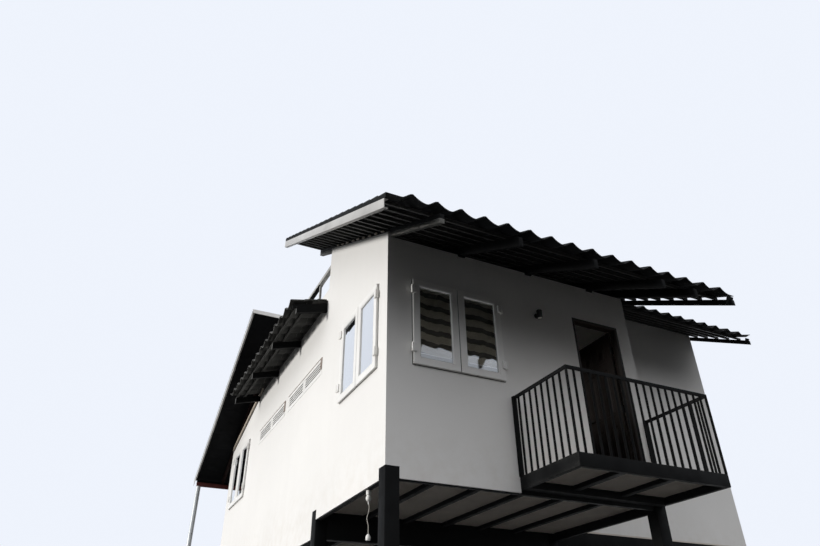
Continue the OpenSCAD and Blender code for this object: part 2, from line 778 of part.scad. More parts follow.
// Roof terrace
module terrace_floor() {
    color(white) {
        span([0, main_w], terrace_y, [terrace_low, terrace_top]);
        for (x = [0, main_w - wall_t])
            translate([x, terrace_y[0], terrace_top]) cube([wall_t, upstand_l, upstand_h]);
    }
}
terrace_rail_bays = 3;
module terrace_rails() {
    z1 = back_plane(terrace_y[1]) - terrace_rail_gap;
    bar = terrace_rail_w / 2;
    step = (terrace_y[1] - terrace_y[0] - upstand_l - bar) / terrace_rail_bays;
    color(grey) for (x = [0, main_w - terrace_rail_w]) {
        span([x, x + terrace_rail_w], terrace_y, [z1 - terrace_rail_w, z1]);
        for (i = [0 : terrace_rail_bays])
            translate([x + bar / 2, terrace_y[0] + upstand_l + i * step, terrace_top])
                cube([bar, bar, z1 - terrace_rail_w - terrace_top]);
    }
}

// Lamps
// Clear distance between the wall and the lamp, and height of its arm
lamp_clear = 30;
lamp_arm_h = 50;
module wall_lamp() {
    y = -lamp_d / 2 - lamp_clear;
    color(black) translate([door_left - lamp_x, y, floor_top + lamp_up]) {
        cylinder(d = lamp_d, h = lamp_h, $fn = 48);
        translate([-lamp_d / 4, 0, (lamp_h - lamp_arm_h) / 2]) cube([lamp_d / 2, -y, lamp_arm_h]);
    }
}
// Profiles of the holder and the socket as shares of their diameter and height
holder_profile = [[0, 0], [0.2, 0.02], [0.38, 0.12], [0.48, 0.25], [0.5, 0.33], [0.46, 0.45], [0.36, 0.55],
    [0.36, 1], [0, 1]];
socket_profile = [[0, 0.25], [0.34, 0.25], [0.34, 0], [0.42, 0], [0.5, 0.25], [0.5, 0.45], [0.42, 0.7],
    [0.28, 0.88], [0.15, 1], [0, 1]];
module turned(profile, d, h) {
    rotate_extrude($fn = 48) polygon([for (p = profile) [p[0] * d, p[1] * h]]);
}
// Lower end of the holder, where the cord starts
cord_top = [(edge[0] + edge[1]) / 2, holder_y, floor_clear - holder_h];
module lamp_holder() { color("white") translate(cord_top) turned(holder_profile, holder_d, holder_h); }
// Route of the cord, measured across and down from the lamp holder's end
cord_route = [[0, 0, 0], [2, -1, -12], [5, -2, -29], [9, -4, -48], [6, -3, -80], [0, 0, -115],
    [-6, 3, -135], [-9, 4, -154], [-6, 3, -178], [0, 0, -202], [4, -2, -225], [5, -2, -250], [5, -2, -275],
    [5, -2, -298]];
cord_sides = 8;
cord_end = cord_top + cord_route[len(cord_route) - 1];
module lamp_cord() {
    rings = len(cord_route);
    points = [for (p = cord_route, k = [0 : cord_sides - 1])
        cord_top + p + cord_d / 2 * [cos(360 * k / cord_sides), sin(360 * k / cord_sides), 0]];
    sides = [for (i = [0 : rings - 2], k = [0 : cord_sides - 1]) let (n = (k + 1) % cord_sides)
        [i * cord_sides + k, i * cord_sides + n, (i + 1) * cord_sides + n, (i + 1) * cord_sides + k]];
    caps = [[for (k = [cord_sides - 1 : -1 : 0]) k],
        [for (k = [0 : cord_sides - 1]) (rings - 1) * cord_sides + k]];
    color("#e2ddd2") polyhedron(points, concat(sides, caps));
}
module lamp_socket() {
    color("white") translate([cord_end[0], cord_end[1], cord_end[2] - socket_h])
        turned(socket_profile, socket_d, socket_h);
}

placed() stilts();
placed() floor_beams();
placed() floor_joists();
placed() soffit_boards();
placed() floor();
placed() balcony_frame();
placed() balcony_floor();
placed() railing_front();
placed() railing_left();
placed() railing_right();
placed() front_wall();
placed() front_wall_over_door();
placed() front_wall_corner();
placed() block_side_walls();
placed() left_wall_middle();
placed() left_wall_back();
placed() wing_front_wall();
placed() right_wall();
placed() back_wall();
placed() terrace_walls();
placed() door_frame();
placed() door_leaf();
placed() front_window();
placed() left_windows();
placed() right_windows();
placed() back_windows();
placed() window_glass();
placed() window_blinds();
placed() left_vents();
placed() front_rafters();
placed() front_battens();
placed() front_roof_tiles();
placed() wing_roof_tiles();
placed() verge_channels();
placed() awning_frame();
placed() awning_tiles();
placed() back_roof_frame();
placed() back_roof_sheet();
placed() pipe_posts();
placed() terrace_floor();
placed() terrace_rails();
placed() wall_lamp();
placed() lamp_holder();
placed() lamp_cord();
placed() lamp_socket();
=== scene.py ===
import json
import random
from math import cos, pi, radians, sin, tan

import bmesh
import bpy
from mathutils import Matrix, Vector


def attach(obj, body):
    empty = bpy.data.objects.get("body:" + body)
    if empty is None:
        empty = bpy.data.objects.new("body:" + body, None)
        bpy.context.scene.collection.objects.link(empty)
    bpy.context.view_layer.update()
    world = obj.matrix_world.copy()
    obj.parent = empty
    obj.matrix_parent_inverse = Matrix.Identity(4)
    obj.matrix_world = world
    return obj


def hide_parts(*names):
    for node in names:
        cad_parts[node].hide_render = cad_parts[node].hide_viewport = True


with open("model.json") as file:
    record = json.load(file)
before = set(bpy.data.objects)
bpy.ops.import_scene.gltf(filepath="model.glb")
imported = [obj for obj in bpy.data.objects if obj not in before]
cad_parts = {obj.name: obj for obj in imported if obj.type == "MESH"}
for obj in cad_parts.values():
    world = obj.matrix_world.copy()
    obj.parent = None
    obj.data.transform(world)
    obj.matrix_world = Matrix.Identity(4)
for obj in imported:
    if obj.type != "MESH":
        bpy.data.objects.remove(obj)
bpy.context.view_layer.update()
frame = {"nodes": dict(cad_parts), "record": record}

# The house's own axes start at the left corner of its front wall, in metres
SHIFT = Vector((-3.6, -3.8, 0))


def at_house(x, y, z):
    return Vector((x, y, z)) + SHIFT


# Camera as solved from the photo's straight edges
PHOTO_WIDTH, FOCAL_LENGTH, SENSOR_WIDTH = 820, 638, 36
YAW, PITCH, ROLL = radians(25.907), radians(32.7185), radians(-0.5409)
camera = bpy.data.objects.new("camera", bpy.data.cameras.new("camera"))
camera.data.sensor_width = SENSOR_WIDTH
camera.data.lens = FOCAL_LENGTH / PHOTO_WIDTH * SENSOR_WIDTH
camera.data.clip_end = 200
camera.matrix_world = (
    Matrix.Translation(at_house(-2.3897, -5.4913, 1.5))
    @ Matrix.Rotation(-YAW, 4, "Z")
    @ Matrix.Rotation(pi / 2 + PITCH, 4, "X")
    @ Matrix.Rotation(ROLL, 4, "Z"))
bpy.context.scene.collection.objects.link(camera)
bpy.context.scene.camera = camera
bpy.context.scene.view_settings.view_transform = "Standard"

# Sizes of the CAD model that the pieces follow
MAIN_W, BACK_Y, FLOOR, SILL = 7.15, 7.8, 3.27, 4.3
WALL_TOP, BACK_WALL_TOP = 5.86, 5.54
TERRACE_TOP, TERRACE_END = 6.12, 5.6
EAVE_Y, WING_EAVE_Y, HIGH_EDGE_Y = -1.2, 0.93, 2.84
LEFT_VERGE, BLOCK_VERGE, RIGHT_VERGE = -0.55, 4.04, 7.3
PITCH_ROOF = radians(27.5)
RISE = tan(PITCH_ROOF)
UP = 1 / cos(PITCH_ROOF)
TILE_LOW = 0.135 * UP
TILE_W, COURSE, COURSE_PLAN = 0.2725, 0.235, 0.20845


def front_plane(y):
    """Height of the front rafters' underside."""
    return WALL_TOP + y * RISE


def back_plane(y):
    """Height of the back rafters' underside."""
    return BACK_WALL_TOP + (BACK_Y - y) * RISE


# ------------------------------------------------ materials


RANGE = ("From Min", "From Max", "To Min", "To Max")


class Nodes:
    """A material's node tree, built up step by step."""

    def __init__(self, name, colour, rough, metal=0.0, specular=0.5):
        self.material = bpy.data.materials.new(name)
        self.material.use_nodes = True
        self.tree = self.material.node_tree
        self.shader = self.tree.nodes["Principled BSDF"]
        self.shader.inputs["Base Color"].default_value = (*colour, 1)
        self.shader.inputs["Roughness"].default_value = rough
        self.shader.inputs["Metallic"].default_value = metal
        self.shader.inputs["Specular IOR Level"].default_value = specular
        self.place = self.tree.nodes.new("ShaderNodeTexCoord").outputs["Object"]

    def link(self, a, b):
        self.tree.links.new(a, b)

    def scaled(self, scale):
        node = self.tree.nodes.new("ShaderNodeMapping")
        node.inputs["Scale"].default_value = scale
        self.link(self.place, node.inputs["Vector"])
        return node.outputs["Vector"]

    def noise(self, scale, detail=4.0, rough=0.55, vector=None):
        node = self.tree.nodes.new("ShaderNodeTexNoise")
        node.inputs["Scale"].default_value = scale
        node.inputs["Detail"].default_value = detail
        node.inputs["Roughness"].default_value = rough
        self.link(vector or self.place, node.inputs["Vector"])
        return node.outputs["Fac"]

    def span(self, value, a, b, c=0.0, d=1.0):
        node = self.tree.nodes.new("ShaderNodeMapRange")
        self.link(value, node.inputs["Value"])
        for name, number in zip(RANGE, (a, b, c, d)):
            node.inputs[name].default_value = number
        return node.outputs["Result"]

    def maths(self, operation, a, b):
        node = self.tree.nodes.new("ShaderNodeMath")
        node.operation = operation
        for socket, value in zip(node.inputs, (a, b)):
            if isinstance(value, (int, float)):
                socket.default_value = value
            else:
                self.link(value, socket)
        return node.outputs["Value"]

    def mix(self, factor, a, b):
        node = self.tree.nodes.new("ShaderNodeMix")
        node.data_type = "RGBA"
        self.link(factor, node.inputs["Factor"])
        for socket, value in ((node.inputs[6], a), (node.inputs[7], b)):
            if isinstance(value, tuple):
                socket.default_value = (*value, 1)
            else:
                self.link(value, socket)
        return node.outputs[2]

    def axes(self, vector):
        node = self.tree.nodes.new("ShaderNodeSeparateXYZ")
        self.link(vector, node.inputs[0])
        return node.outputs

    def colour(self, value):
        self.link(value, self.shader.inputs["Base Color"])

    def rough(self, value):
        self.link(value, self.shader.inputs["Roughness"])

    def bump(self, height, distance, strength=1.0):
        node = self.tree.nodes.new("ShaderNodeBump")
        node.inputs["Distance"].default_value = distance
        node.inputs["Strength"].default_value = strength
        self.link(height, node.inputs["Height"])
        self.link(node.outputs["Normal"], self.shader.inputs["Normal"])

    def edges(self, radius):
        """1 along sharp edges and 0 elsewhere."""
        bevel = self.tree.nodes.new("ShaderNodeBevel")
        bevel.samples = 4
        bevel.inputs["Radius"].default_value = radius
        normal = self.tree.nodes.new("ShaderNodeNewGeometry").outputs["True Normal"]
        dot = self.tree.nodes.new("ShaderNodeVectorMath")
        dot.operation = "DOT_PRODUCT"
        self.link(bevel.outputs["Normal"], dot.inputs[0])
        self.link(normal, dot.inputs[1])
        return self.span(dot.outputs["Value"], 0.995, 0.9)


# Heights between which the walls' foot grows dusty
DUSTY = (3.75, 3.1)
# Plan size of one roof tile, and a height that takes in the whole roof
TILE_CELL = (TILE_W, COURSE_PLAN, 50)


def tint(colour, *factors):
    """A colour times one factor, or times one for each channel."""
    return tuple(c * f for c, f in zip(colour, factors * 3 if len(factors) == 1 else factors))


def painted(name, colour, rough, specular=0.3, spread=0.25, wear=0.35, worn=None, painted_shade=None):
    """Painted or rolled metal: cloudy dust, fine orange peel and lighter worn edges. The last
    argument gives two places across the house and a darker colour beyond the second: painted
    shade, for a part that runs in under shade."""
    n = Nodes(name, colour, rough, 0, specular)
    clouds = n.span(n.noise(1.7, 5), 0.35, 0.65)
    base = n.mix(clouds, tint(colour, 1 - spread), tint(colour, 1 + spread))
    scratch = n.span(n.noise(60, 3, 0.7), 0.45, 0.7)
    worn_edge = n.maths("MULTIPLY", n.edges(0.004), n.span(scratch, 0, 1, 0.15 * wear, wear))
    base = n.mix(worn_edge, base, worn or tint(colour, 3))
    # Painted shade: beyond the second place the colour turns to the darker one given
    if painted_shade:
        base = n.mix(n.span(n.axes(n.place)["X"], painted_shade[0], painted_shade[1]), base, painted_shade[2])
    n.colour(base)
    n.rough(n.span(n.noise(9, 4), 0.3, 0.7, rough - 0.08, rough + 0.12))
    n.bump(n.noise(260, 2), 0.0003, 0.5)
    return n.material


def plastered(name, colour):
    """White painted cement board: trowel marks, faint streaks down it, dust at its foot."""
    n = Nodes(name, colour, 0.75, 0, 0.25)
    broad = n.span(n.noise(0.6, 4), 0.3, 0.7)
    base = n.mix(broad, tint(colour, 0.965), tint(colour, 1.02))
    streaks = n.span(n.noise(1, 5, 0.6, n.scaled((3.2, 3.2, 0.22))), 0.52, 0.75, 0, 0.12)
    base = n.mix(streaks, base, tint(colour, 0.86, 0.85, 0.83))
    low = n.span(n.axes(n.place)["Z"], *DUSTY)
    dust = n.maths("MULTIPLY", low, n.span(n.noise(7, 5), 0.4, 0.7))
    dust = n.maths("MULTIPLY", dust, 0.3)
    n.colour(n.mix(dust, base, tint(colour, 0.78, 0.74, 0.68)))
    n.rough(n.span(n.noise(14, 3), 0.3, 0.7, 0.65, 0.85))
    trowel = n.noise(5, 3, 0.5, n.scaled((1, 1, 0.6)))
    grain = n.noise(120, 3)
    relief = n.maths("ADD", n.maths("MULTIPLY", trowel, 2.0), n.maths("MULTIPLY", grain, 0.4))
    n.bump(relief, 0.0012, 0.35)
    return n.material


def tiled(name, colour, low=0.75, high=1.35, chip_and_highlight_colour=(0.15, 0.15, 0.145)):
    """Concrete tiles with lichen and a sandy surface, each with its own tone. Their light edges
    are partly chips and partly a painted highlight on the tile noses.
    """
    n = Nodes(name, colour, 0.75, 0, 0.04)
    snap = n.tree.nodes.new("ShaderNodeVectorMath")
    snap.operation = "SNAP"
    n.link(n.place, snap.inputs[0])
    snap.inputs[1].default_value = TILE_CELL
    each = n.tree.nodes.new("ShaderNodeTexWhiteNoise")
    n.link(snap.outputs[0], each.inputs["Vector"])
    tone = n.mix(each.outputs["Value"], tint(colour, low), tint(colour, high))
    moss = n.span(n.noise(22, 6, 0.7), 0.6, 0.72, 0, 0.5)
    base = n.mix(moss, tone, (0.11, 0.115, 0.1))
    # Light edges: partly chips, partly a painted highlight where light catches the tile noses
    chips_and_highlight = n.maths("MULTIPLY", n.edges(0.006), n.span(n.noise(45, 3), 0.35, 0.6, 0.25, 0.8))
    n.colour(n.mix(chips_and_highlight, base, chip_and_highlight_colour))
    n.rough(n.span(n.noise(30, 3), 0.3, 0.7, 0.65, 0.85))
    n.bump(n.noise(220, 4, 0.7), 0.0015, 0.5)
    return n.material


def boarded(name, colour):
    """Pale cement board with cloudy stains and fine speckle."""
    n = Nodes(name, colour, 0.8, 0, 0.2)
    clouds = n.span(n.noise(2.3, 6, 0.6), 0.32, 0.68)
    base = n.mix(clouds, tint(colour, 0.86), tint(colour, 1.08))
    damp = n.span(n.noise(0.9, 5, 0.6, n.scaled((1.6, 0.8, 1))), 0.56, 0.74, 0, 0.35)
    base = n.mix(damp, base, tint(colour, 0.66, 0.62, 0.56))
    speck = n.span(n.noise(170, 3, 0.7), 0.55, 0.75, 0, 0.25)
    n.colour(n.mix(speck, base, tint(colour, 0.6)))
    n.bump(n.noise(90, 4), 0.0008, 0.4)
    return n.material


def grained(name, colour):
    """Dark stained wood, its grain running up the door."""
    n = Nodes(name, colour, 0.55, 0, 0.12)
    fibres = n.noise(7, 8, 0.65, n.scaled((9, 9, 0.7)))
    rings = n.noise(3, 2, 0.5, n.scaled((3, 3, 0.7)))
    grain = n.maths("ADD", n.maths("MULTIPLY", fibres, 0.7), n.maths("MULTIPLY", rings, 0.4))
    tone = n.span(grain, 0.4, 0.7)
    n.colour(n.mix(tone, tint(colour, 0.45), tint(colour, 1.3)))
    n.rough(n.span(fibres, 0.3, 0.7, 0.45, 0.65))
    n.bump(fibres, 0.0008, 0.5)
    return n.material


def glazed(name):
    """Reflecting window glass, clearer seen straight on. In the front and back walls it leans a
    little, and it has slight waves everywhere."""
    n = Nodes(name, (0.85, 0.87, 0.89), 0.02, 1, 0.5)
    facing = n.tree.nodes.new("ShaderNodeLayerWeight").outputs["Facing"]
    n.link(n.span(facing, 0.15, 0.72, 0.08, 0.97), n.shader.inputs["Alpha"])
    n.bump(n.noise(3.1, 2), 0.002, 0.25)
    normal = n.shader.inputs["Normal"].links[0].from_socket
    forward = n.axes(normal)["Y"]
    rise = n.tree.nodes.new("ShaderNodeCombineXYZ")
    n.link(n.span(n.maths("ABSOLUTE", forward, 0), 0.5, 1, 0, 0.066), rise.inputs["Z"])
    lean = n.tree.nodes.new("ShaderNodeVectorMath")
    n.link(normal, lean.inputs[0])
    n.link(rise.outputs[0], lean.inputs[1])
    n.link(lean.outputs[0], n.shader.inputs["Normal"])
    n.rough(n.span(n.noise(3, 4), 0.45, 0.75, 0.012, 0.04))
    return n.material


def woven(name, colour):
    """Blind cloth with fine threads both ways and a little dust."""
    n = Nodes(name, colour, 0.85, 0, 0.15)
    n.shader.inputs["Sheen Weight"].default_value = 0.2
    threads = []
    for scale in ((1, 1, 500), (500, 1, 1)):
        wave = n.tree.nodes.new("ShaderNodeTexWave")
        wave.bands_direction = "Z" if scale[2] > 1 else "X"
        wave.inputs["Scale"].default_value = 260
        wave.inputs["Distortion"].default_value = 0.6
        n.link(n.place, wave.inputs["Vector"])
        threads.append(wave.outputs["Fac"])
    weave = n.maths("MULTIPLY", threads[0], threads[1])
    soil = n.span(n.noise(5, 4), 0.3, 0.7, 0.88, 1.08)
    tone = n.mix(weave, tint(colour, 0.8), tint(colour, 1.1))
    n.colour(n.mix(n.span(soil, 0.88, 1.08, 0, 0.4), tone, tint(colour, 0.75)))
    n.bump(weave, 0.0004, 0.6)
    return n.material


def moulded(name, colour, rough):
    """Moulded plastic or enamel with a faint orange peel and handling marks."""
    n = Nodes(name, colour, rough, 0, 0.5)
    marks = n.span(n.noise(25, 5, 0.6), 0.5, 0.8, 0, 0.3)
    n.colour(n.mix(marks, colour, tint(colour, 0.85, 0.83, 0.78)))
    n.rough(n.span(n.noise(40, 3), 0.3, 0.7, rough - 0.05, rough + 0.1))
    n.bump(n.noise(320, 2), 0.0002, 0.4)
    return n.material


def galvanised(name, colour, rough=0.42):
    """Zinc with its spangle and dull streaks."""
    n = Nodes(name, colour, rough, 0.75, 0.5)
    cells = n.tree.nodes.new("ShaderNodeTexVoronoi")
    cells.inputs["Scale"].default_value = 60
    n.link(n.place, cells.inputs["Vector"])
    spangle = n.span(cells.outputs["Distance"], 0, 0.6)
    base = n.mix(spangle, tint(colour, 0.8), tint(colour, 1.2))
    n.colour(n.mix(n.span(n.noise(4, 5), 0.5, 0.75, 0, 0.5), base, tint(colour, 0.55)))
    n.rough(n.span(spangle, 0, 1, rough - 0.08, rough + 0.12))
    n.bump(n.noise(180, 2), 0.0003, 0.4)
    return n.material


MATERIALS = {
    "black_steel": painted(
        "black_steel", (0.0065, 0.0068, 0.007), 0.62, 0.04, worn=(0.03, 0.03, 0.03)),
    "scuffed_steel": painted(
        "scuffed_steel", (0.008, 0.0083, 0.0085), 0.6, 0.04, 0.6, 1, (0.1, 0.098, 0.092)),
    "tube_steel": painted(
        "tube_steel", (0.1, 0.1, 0.094), 0.7, 0.1, 0.6, 0.8, (0.22, 0.21, 0.19)),
    "awning_steel": painted(
        "awning_steel", (0.05, 0.05, 0.048), 0.6, 0.05, worn=(0.15, 0.15, 0.14)),
    # The battens turn dark from just inside the left wall: painted shade under the front eave
    "batten_steel": painted(
        "batten_steel", (0.1, 0.1, 0.096), 0.6, 0.1, 0.2, worn=(0.3, 0.3, 0.29),
        painted_shade=(-3.5, -2.9, (0.014, 0.014, 0.0135))),
    "light_steel": painted(
        "light_steel", (0.42, 0.415, 0.4), 0.45, spread=0.12, worn=(0.2, 0.15, 0.11)),
    "red_oxide_steel": painted(
        "red_oxide_steel", (0.07, 0.016, 0.013), 0.65, 0.2, worn=(0.12, 0.05, 0.03)),
    # A darker copy of the red oxide paint: painted shade for the rafters in under the back sheet
    "shaded_oxide_steel": painted(
        "shaded_oxide_steel", (0.014, 0.007, 0.006), 0.65, 0.05, worn=(0.05, 0.03, 0.02)),
    "galvanised_pipe": galvanised("galvanised_pipe", (0.36, 0.37, 0.37)),
    "white_wall": plastered("white_wall", (0.78, 0.77, 0.745)),
    "floor_board": boarded("floor_board", (0.68, 0.62, 0.55)),
    "roof_tile": tiled("roof_tile", (0.009, 0.0094, 0.0102)),
    # The awning tiles' near-white edges are partly chips and partly a painted highlight on their
    # sunlit tips
    "awning_tile": tiled("awning_tile", (0.036, 0.036, 0.035), 0.35, 2.1, (0.42, 0.42, 0.4)),
    "roof_sheet": painted(
        "roof_sheet", (0.007, 0.0073, 0.008), 0.65, 0.04, worn=(0.03, 0.03, 0.032)),
    "window_white": painted(
        "window_white", (0.82, 0.81, 0.78), 0.35, 0.4, 0.05, 0.25, (0.5, 0.47, 0.42)),
    "glass": glazed("glass"),
    "blind": woven("blind", (0.5, 0.46, 0.36)),
    "door_wood": grained("door_wood", (0.008, 0.0056, 0.0045)),
    "lamp_black": painted("lamp_black", (0.011, 0.011, 0.011), 0.45, 0.12),
    "lamp_white": moulded("lamp_white", (0.78, 0.77, 0.73), 0.3),
    "lamp_glow": moulded("lamp_glow", (0.85, 0.84, 0.8), 0.35),
    "bright_steel": galvanised("bright_steel", (0.5, 0.5, 0.49), 0.3),
    "cord": moulded("cord", (0.42, 0.4, 0.35), 0.5),
    "seal_and_shadow_line": moulded("seal_and_shadow_line", (0.02, 0.02, 0.02), 0.6),
    "blind_sheer": woven("blind_sheer", (0.11, 0.1, 0.08)),
    "cream": moulded("cream", (0.5, 0.43, 0.35), 0.5),
    "dab_dull": moulded("dab_dull", (0.17, 0.165, 0.15), 0.85),
    "tan": moulded("tan", (0.26, 0.2, 0.16), 0.5),
    "dab_pale": plastered("dab_pale", (0.62, 0.56, 0.5)),
}
SLOTS = {part["node"]: part["material_slot"] for part in frame["record"]["subparts"]}
for name, slot in SLOTS.items():
    node = frame["nodes"][name]
    node.data.materials.clear()
    node.data.materials.append(MATERIALS[slot])

# ------------------------------------------------ building pieces

BOX_FACES = [(0, 1, 3, 2), (4, 6, 7, 5), (0, 4, 5, 1), (2, 3, 7, 6), (0, 2, 6, 4), (1, 5, 7, 3)]
ROUNDED_ABOVE = radians(30)


def oblong(a, b):
    """The corners of a rectangle, from its two spans."""
    return [(a[0], b[0]), (a[1], b[0]), (a[1], b[1]), (a[0], b[1])]


def around(middle, half):
    return middle - half, middle + half


def evenly(a, b, count):
    return [(a + (b - a) * i / count, a + (b - a) * (i + 1) / count) for i in range(count)]


def show(name, data, replaced):
    """Put a piece in the scene, on the root body."""
    obj = bpy.data.objects.new(name, data)
    bpy.context.scene.collection.objects.link(obj)
    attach(obj, "root")
    if replaced:
        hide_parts(*replaced)
    return obj


def shade(mesh, degrees):
    """Smooth shading, but sharp where faces meet at more than an angle."""
    mesh.polygons.foreach_set("use_smooth", [True] * len(mesh.polygons))
    mesh.set_sharp_from_angle(angle=radians(degrees))


def round_edges(bm, width, segments=2):
    sharp = [e for e in bm.edges if e.is_manifold and e.calc_face_angle() > ROUNDED_ABOVE]
    bmesh.ops.bevel(bm, geom=sharp, offset=width, segments=segments, profile=0.5,
                    affect="EDGES", clamp_overlap=True)


class Shape:
    """Points and faces of one piece, in house axes or in the axes that place() turns into them."""

    def __init__(self, place=None):
        self.place = place or (lambda x, y, z: (x, y, z))
        self.points, self.faces, self.kinds = [], [], []

    def add(self, points, faces, kind=0):
        base = len(self.points)
        self.points += [self.place(*p) for p in points]
        self.faces += [[base + i for i in f] for f in faces]
        self.kinds += [kind] * len(faces)

    def box(self, x, y, z, kind=0):
        self.add([(a, b, c) for a in x for b in y for c in z], BOX_FACES, kind)

    def rings(self, rings, kind=0, closed=False):
        """A skin over rings of points, capped at both ends unless the rings close a loop."""
        n = len(rings[0])
        points = [p for ring in rings for p in ring]
        faces = []
        for i in range(len(rings) if closed else len(rings) - 1):
            a, b = i * n, (i + 1) % len(rings) * n
            faces += [(a + k, a + (k + 1) % n, b + (k + 1) % n, b + k) for k in range(n)]
        if not closed:
            faces += [tuple(range(n))[::-1], tuple(range(len(points) - n, len(points)))]
        self.add(points, faces, kind)

    def bar(self, spot, section, ends, kind=0):
        """A bar between its ends. spot(end, a, b) places a corner (a, b) of its section."""
        self.rings([[spot(end, a, b) for a, b in section] for end in ends], kind)

    def lathe(self, centre, profile, axis="z", sides=24, kind=0):
        """Rings of the profile's radius at each height above the centre, along an axis."""
        rings = []
        for radius, height in profile:
            ring = []
            for k in range(sides):
                a, b = radius * cos(2 * pi * k / sides), radius * sin(2 * pi * k / sides)
                offset = {"z": (a, b, height), "y": (a, height, b), "x": (height, a, b)}[axis]
                ring.append(tuple(c + o for c, o in zip(centre, offset)))
            rings.append(ring)
        self.rings(rings, kind)

    def frame(self, x, z, profile):
        """A mitred frame round a rectangle in X and Z, from pairs of inset and depth."""
        inward = ((1, 1), (-1, 1), (-1, -1), (1, -1))
        self.rings([[(cx + sx * inset, depth, cz + sz * inset) for inset, depth in profile]
                    for (cx, cz), (sx, sz) in zip(oblong(x, z), inward)], closed=True)

    def piece(self, name, slot, materials=None, bevel=0.0, segments=2, smooth=False, replaces=()):
        mesh = bpy.data.meshes.new(name)
        mesh.from_pydata([at_house(*p) for p in self.points], [], self.faces)
        mesh.update()
        for material in materials or [slot]:
            mesh.materials.append(MATERIALS[material])
        for polygon, kind in zip(mesh.polygons, self.kinds):
            polygon.material_index = kind
        bm = bmesh.new()
        bm.from_mesh(mesh)
        bmesh.ops.recalc_face_normals(bm, faces=bm.faces)
        if bevel:
            round_edges(bm, bevel, segments)
        bm.to_mesh(mesh)
        bm.free()
        if smooth:
            shade(mesh, 35)
        return show(name, mesh, replaces)


def soften(node, width, second=None, where=None):
    """The same solid as a CAD node, with the rounded edges of rolled or sawn stock. A second
    material covers the faces whose middle, in house axes, passes the where test."""
    mesh = frame["nodes"][node].data.copy()
    bm = bmesh.new()
    bm.from_mesh(mesh)
    bmesh.ops.remove_doubles(bm, verts=bm.verts, dist=1e-5)
    bmesh.ops.dissolve_limit(bm, angle_limit=radians(1), verts=bm.verts, edges=bm.edges)
    round_edges(bm, width)
    bm.to_mesh(mesh)
    bm.free()
    shade(mesh, 50)
    if second:
        mesh.materials.append(MATERIALS[second])
        for polygon in mesh.polygons:
            polygon.material_index = int(where(*(polygon.center - SHIFT)))
    show(node + "_rounded", mesh, [node])


# ------------------------------------------------ lamps and the hanging cord

CORD_TOP, CORD_D = (0.045, 0.5, 2.994), 0.008
# Route below the cord's top, in millimetres
CORD_ROUTE = [
    (0, 0, 0), (2, -1, -12), (5, -2, -29), (9, -4, -48), (6, -3, -80), (0, 0, -115),
    (-6, 3, -135), (-9, 4, -154), (-6, 3, -178), (0, 0, -202), (4, -2, -225), (5, -2, -250),
    (5, -2, -275), (5, -2, -298)]
CORD_END = [top + way / 1000 for top, way in zip(CORD_TOP, CORD_ROUTE[-1])]


def smooth_route(points):
    """The same route with a point half way between each two, on a smooth curve through all."""
    result = []
    for i in range(len(points) - 1):
        before, a = points[max(i - 1, 0)], points[i]
        b, after = points[i + 1], points[min(i + 2, len(points) - 1)]
        result += [a, (9 * (a + b) - before - after) / 16]
    return result + [points[-1]]


cord_points = smooth_route([at_house(*CORD_TOP) + Vector(p) / 1000 for p in CORD_ROUTE])
curve = bpy.data.curves.new("hanging_cord", "CURVE")
curve.dimensions = "3D"
curve.bevel_depth = CORD_D / 2
curve.bevel_resolution = 3
curve.use_fill_caps = True
spline = curve.splines.new("POLY")
spline.points.add(len(cord_points) - 1)
for point, co in zip(spline.points, cord_points):
    point.co = (*co, 1)
curve.materials.append(MATERIALS["cord"])
cord = show("hanging_cord", curve, ["lamp_cord"])

relief = Shape()
relief.lathe((CORD_TOP[0] + 0.001, *CORD_TOP[1:]),
             [(0.0075, 0.004), (0.0075, -0.004), (0.0058, -0.014), (0.0046, -0.026)], sides=20)
relief = relief.piece("cord_relief", "lamp_white", smooth=True)

# Radius and height of the turned parts, in millimetres
HOLDER = [
    (6, 0), (12, 2), (18, 6), (23, 13), (26, 21), (27.3, 29), (27, 37), (25, 45), (21, 52),
    (18.5, 57), (19, 61), (23, 64), (24.5, 68), (25, 103), (24, 106)]
SOCKET = [
    (16, 14), (16, 0), (20, 0), (21, 3), (23, 10), (24.5, 14), (24.5, 25), (23, 33), (20, 40),
    (16, 46), (12, 51), (9, 55), (7.5, 58)]


def turned(part, x, y, z, profile):
    shape = Shape()
    shape.lathe((x, y, z), [(r / 1000, h / 1000) for r, h in profile], sides=48)
    return shape.piece("turned_" + part, "lamp_white", smooth=True, replaces=["lamp_" + part])


turned("holder", *CORD_TOP, HOLDER)
socket = turned("socket", *CORD_END[:2], CORD_END[2] - SOCKET[-1][1] / 1000, SOCKET)

WALL_LAMP, ARM_Z = (1.99, -0.0625, 5.2), 5.255
LAMP_TUBE = [
    (0.0265, 0.006), (0.0265, 0), (0.0315, 0), (0.0325, 0.002), (0.0325, 0.094),
    (0.0345, 0.096), (0.0345, 0.1), (0.0325, 0.103), (0.029, 0.1095), (0.004, 0.1095)]
LAMP_LENS = [(0.0262, 0.0055), (0.0262, 0.0035), (0.02, 0.0015), (0.004, 0.0008)]
lamp = Shape()
lamp.lathe(WALL_LAMP, LAMP_TUBE, sides=40)
lamp.box(around(WALL_LAMP[0], 0.016), (-0.06, -0.008), around(ARM_Z, 0.023))
lamp.lathe((WALL_LAMP[0], -0.0085, ARM_Z), [(0.03, 0), (0.034, 0.002), (0.034, 0.0085)], "y", 32)
lamp.lathe(WALL_LAMP, LAMP_LENS, sides=40, kind=1)
lamp.piece("wall_lamp_body", "lamp_black", ["lamp_black", "lamp_glow"], smooth=True,
           replaces=["wall_lamp"])

# ------------------------------------------------ windows, in axes along and into each wall

WIN_X, WIN_W, WIN_H, SASH, FIXED = 0.3, 1.14, 1.04, 0.086, 0.045
HALF = WIN_W / 2


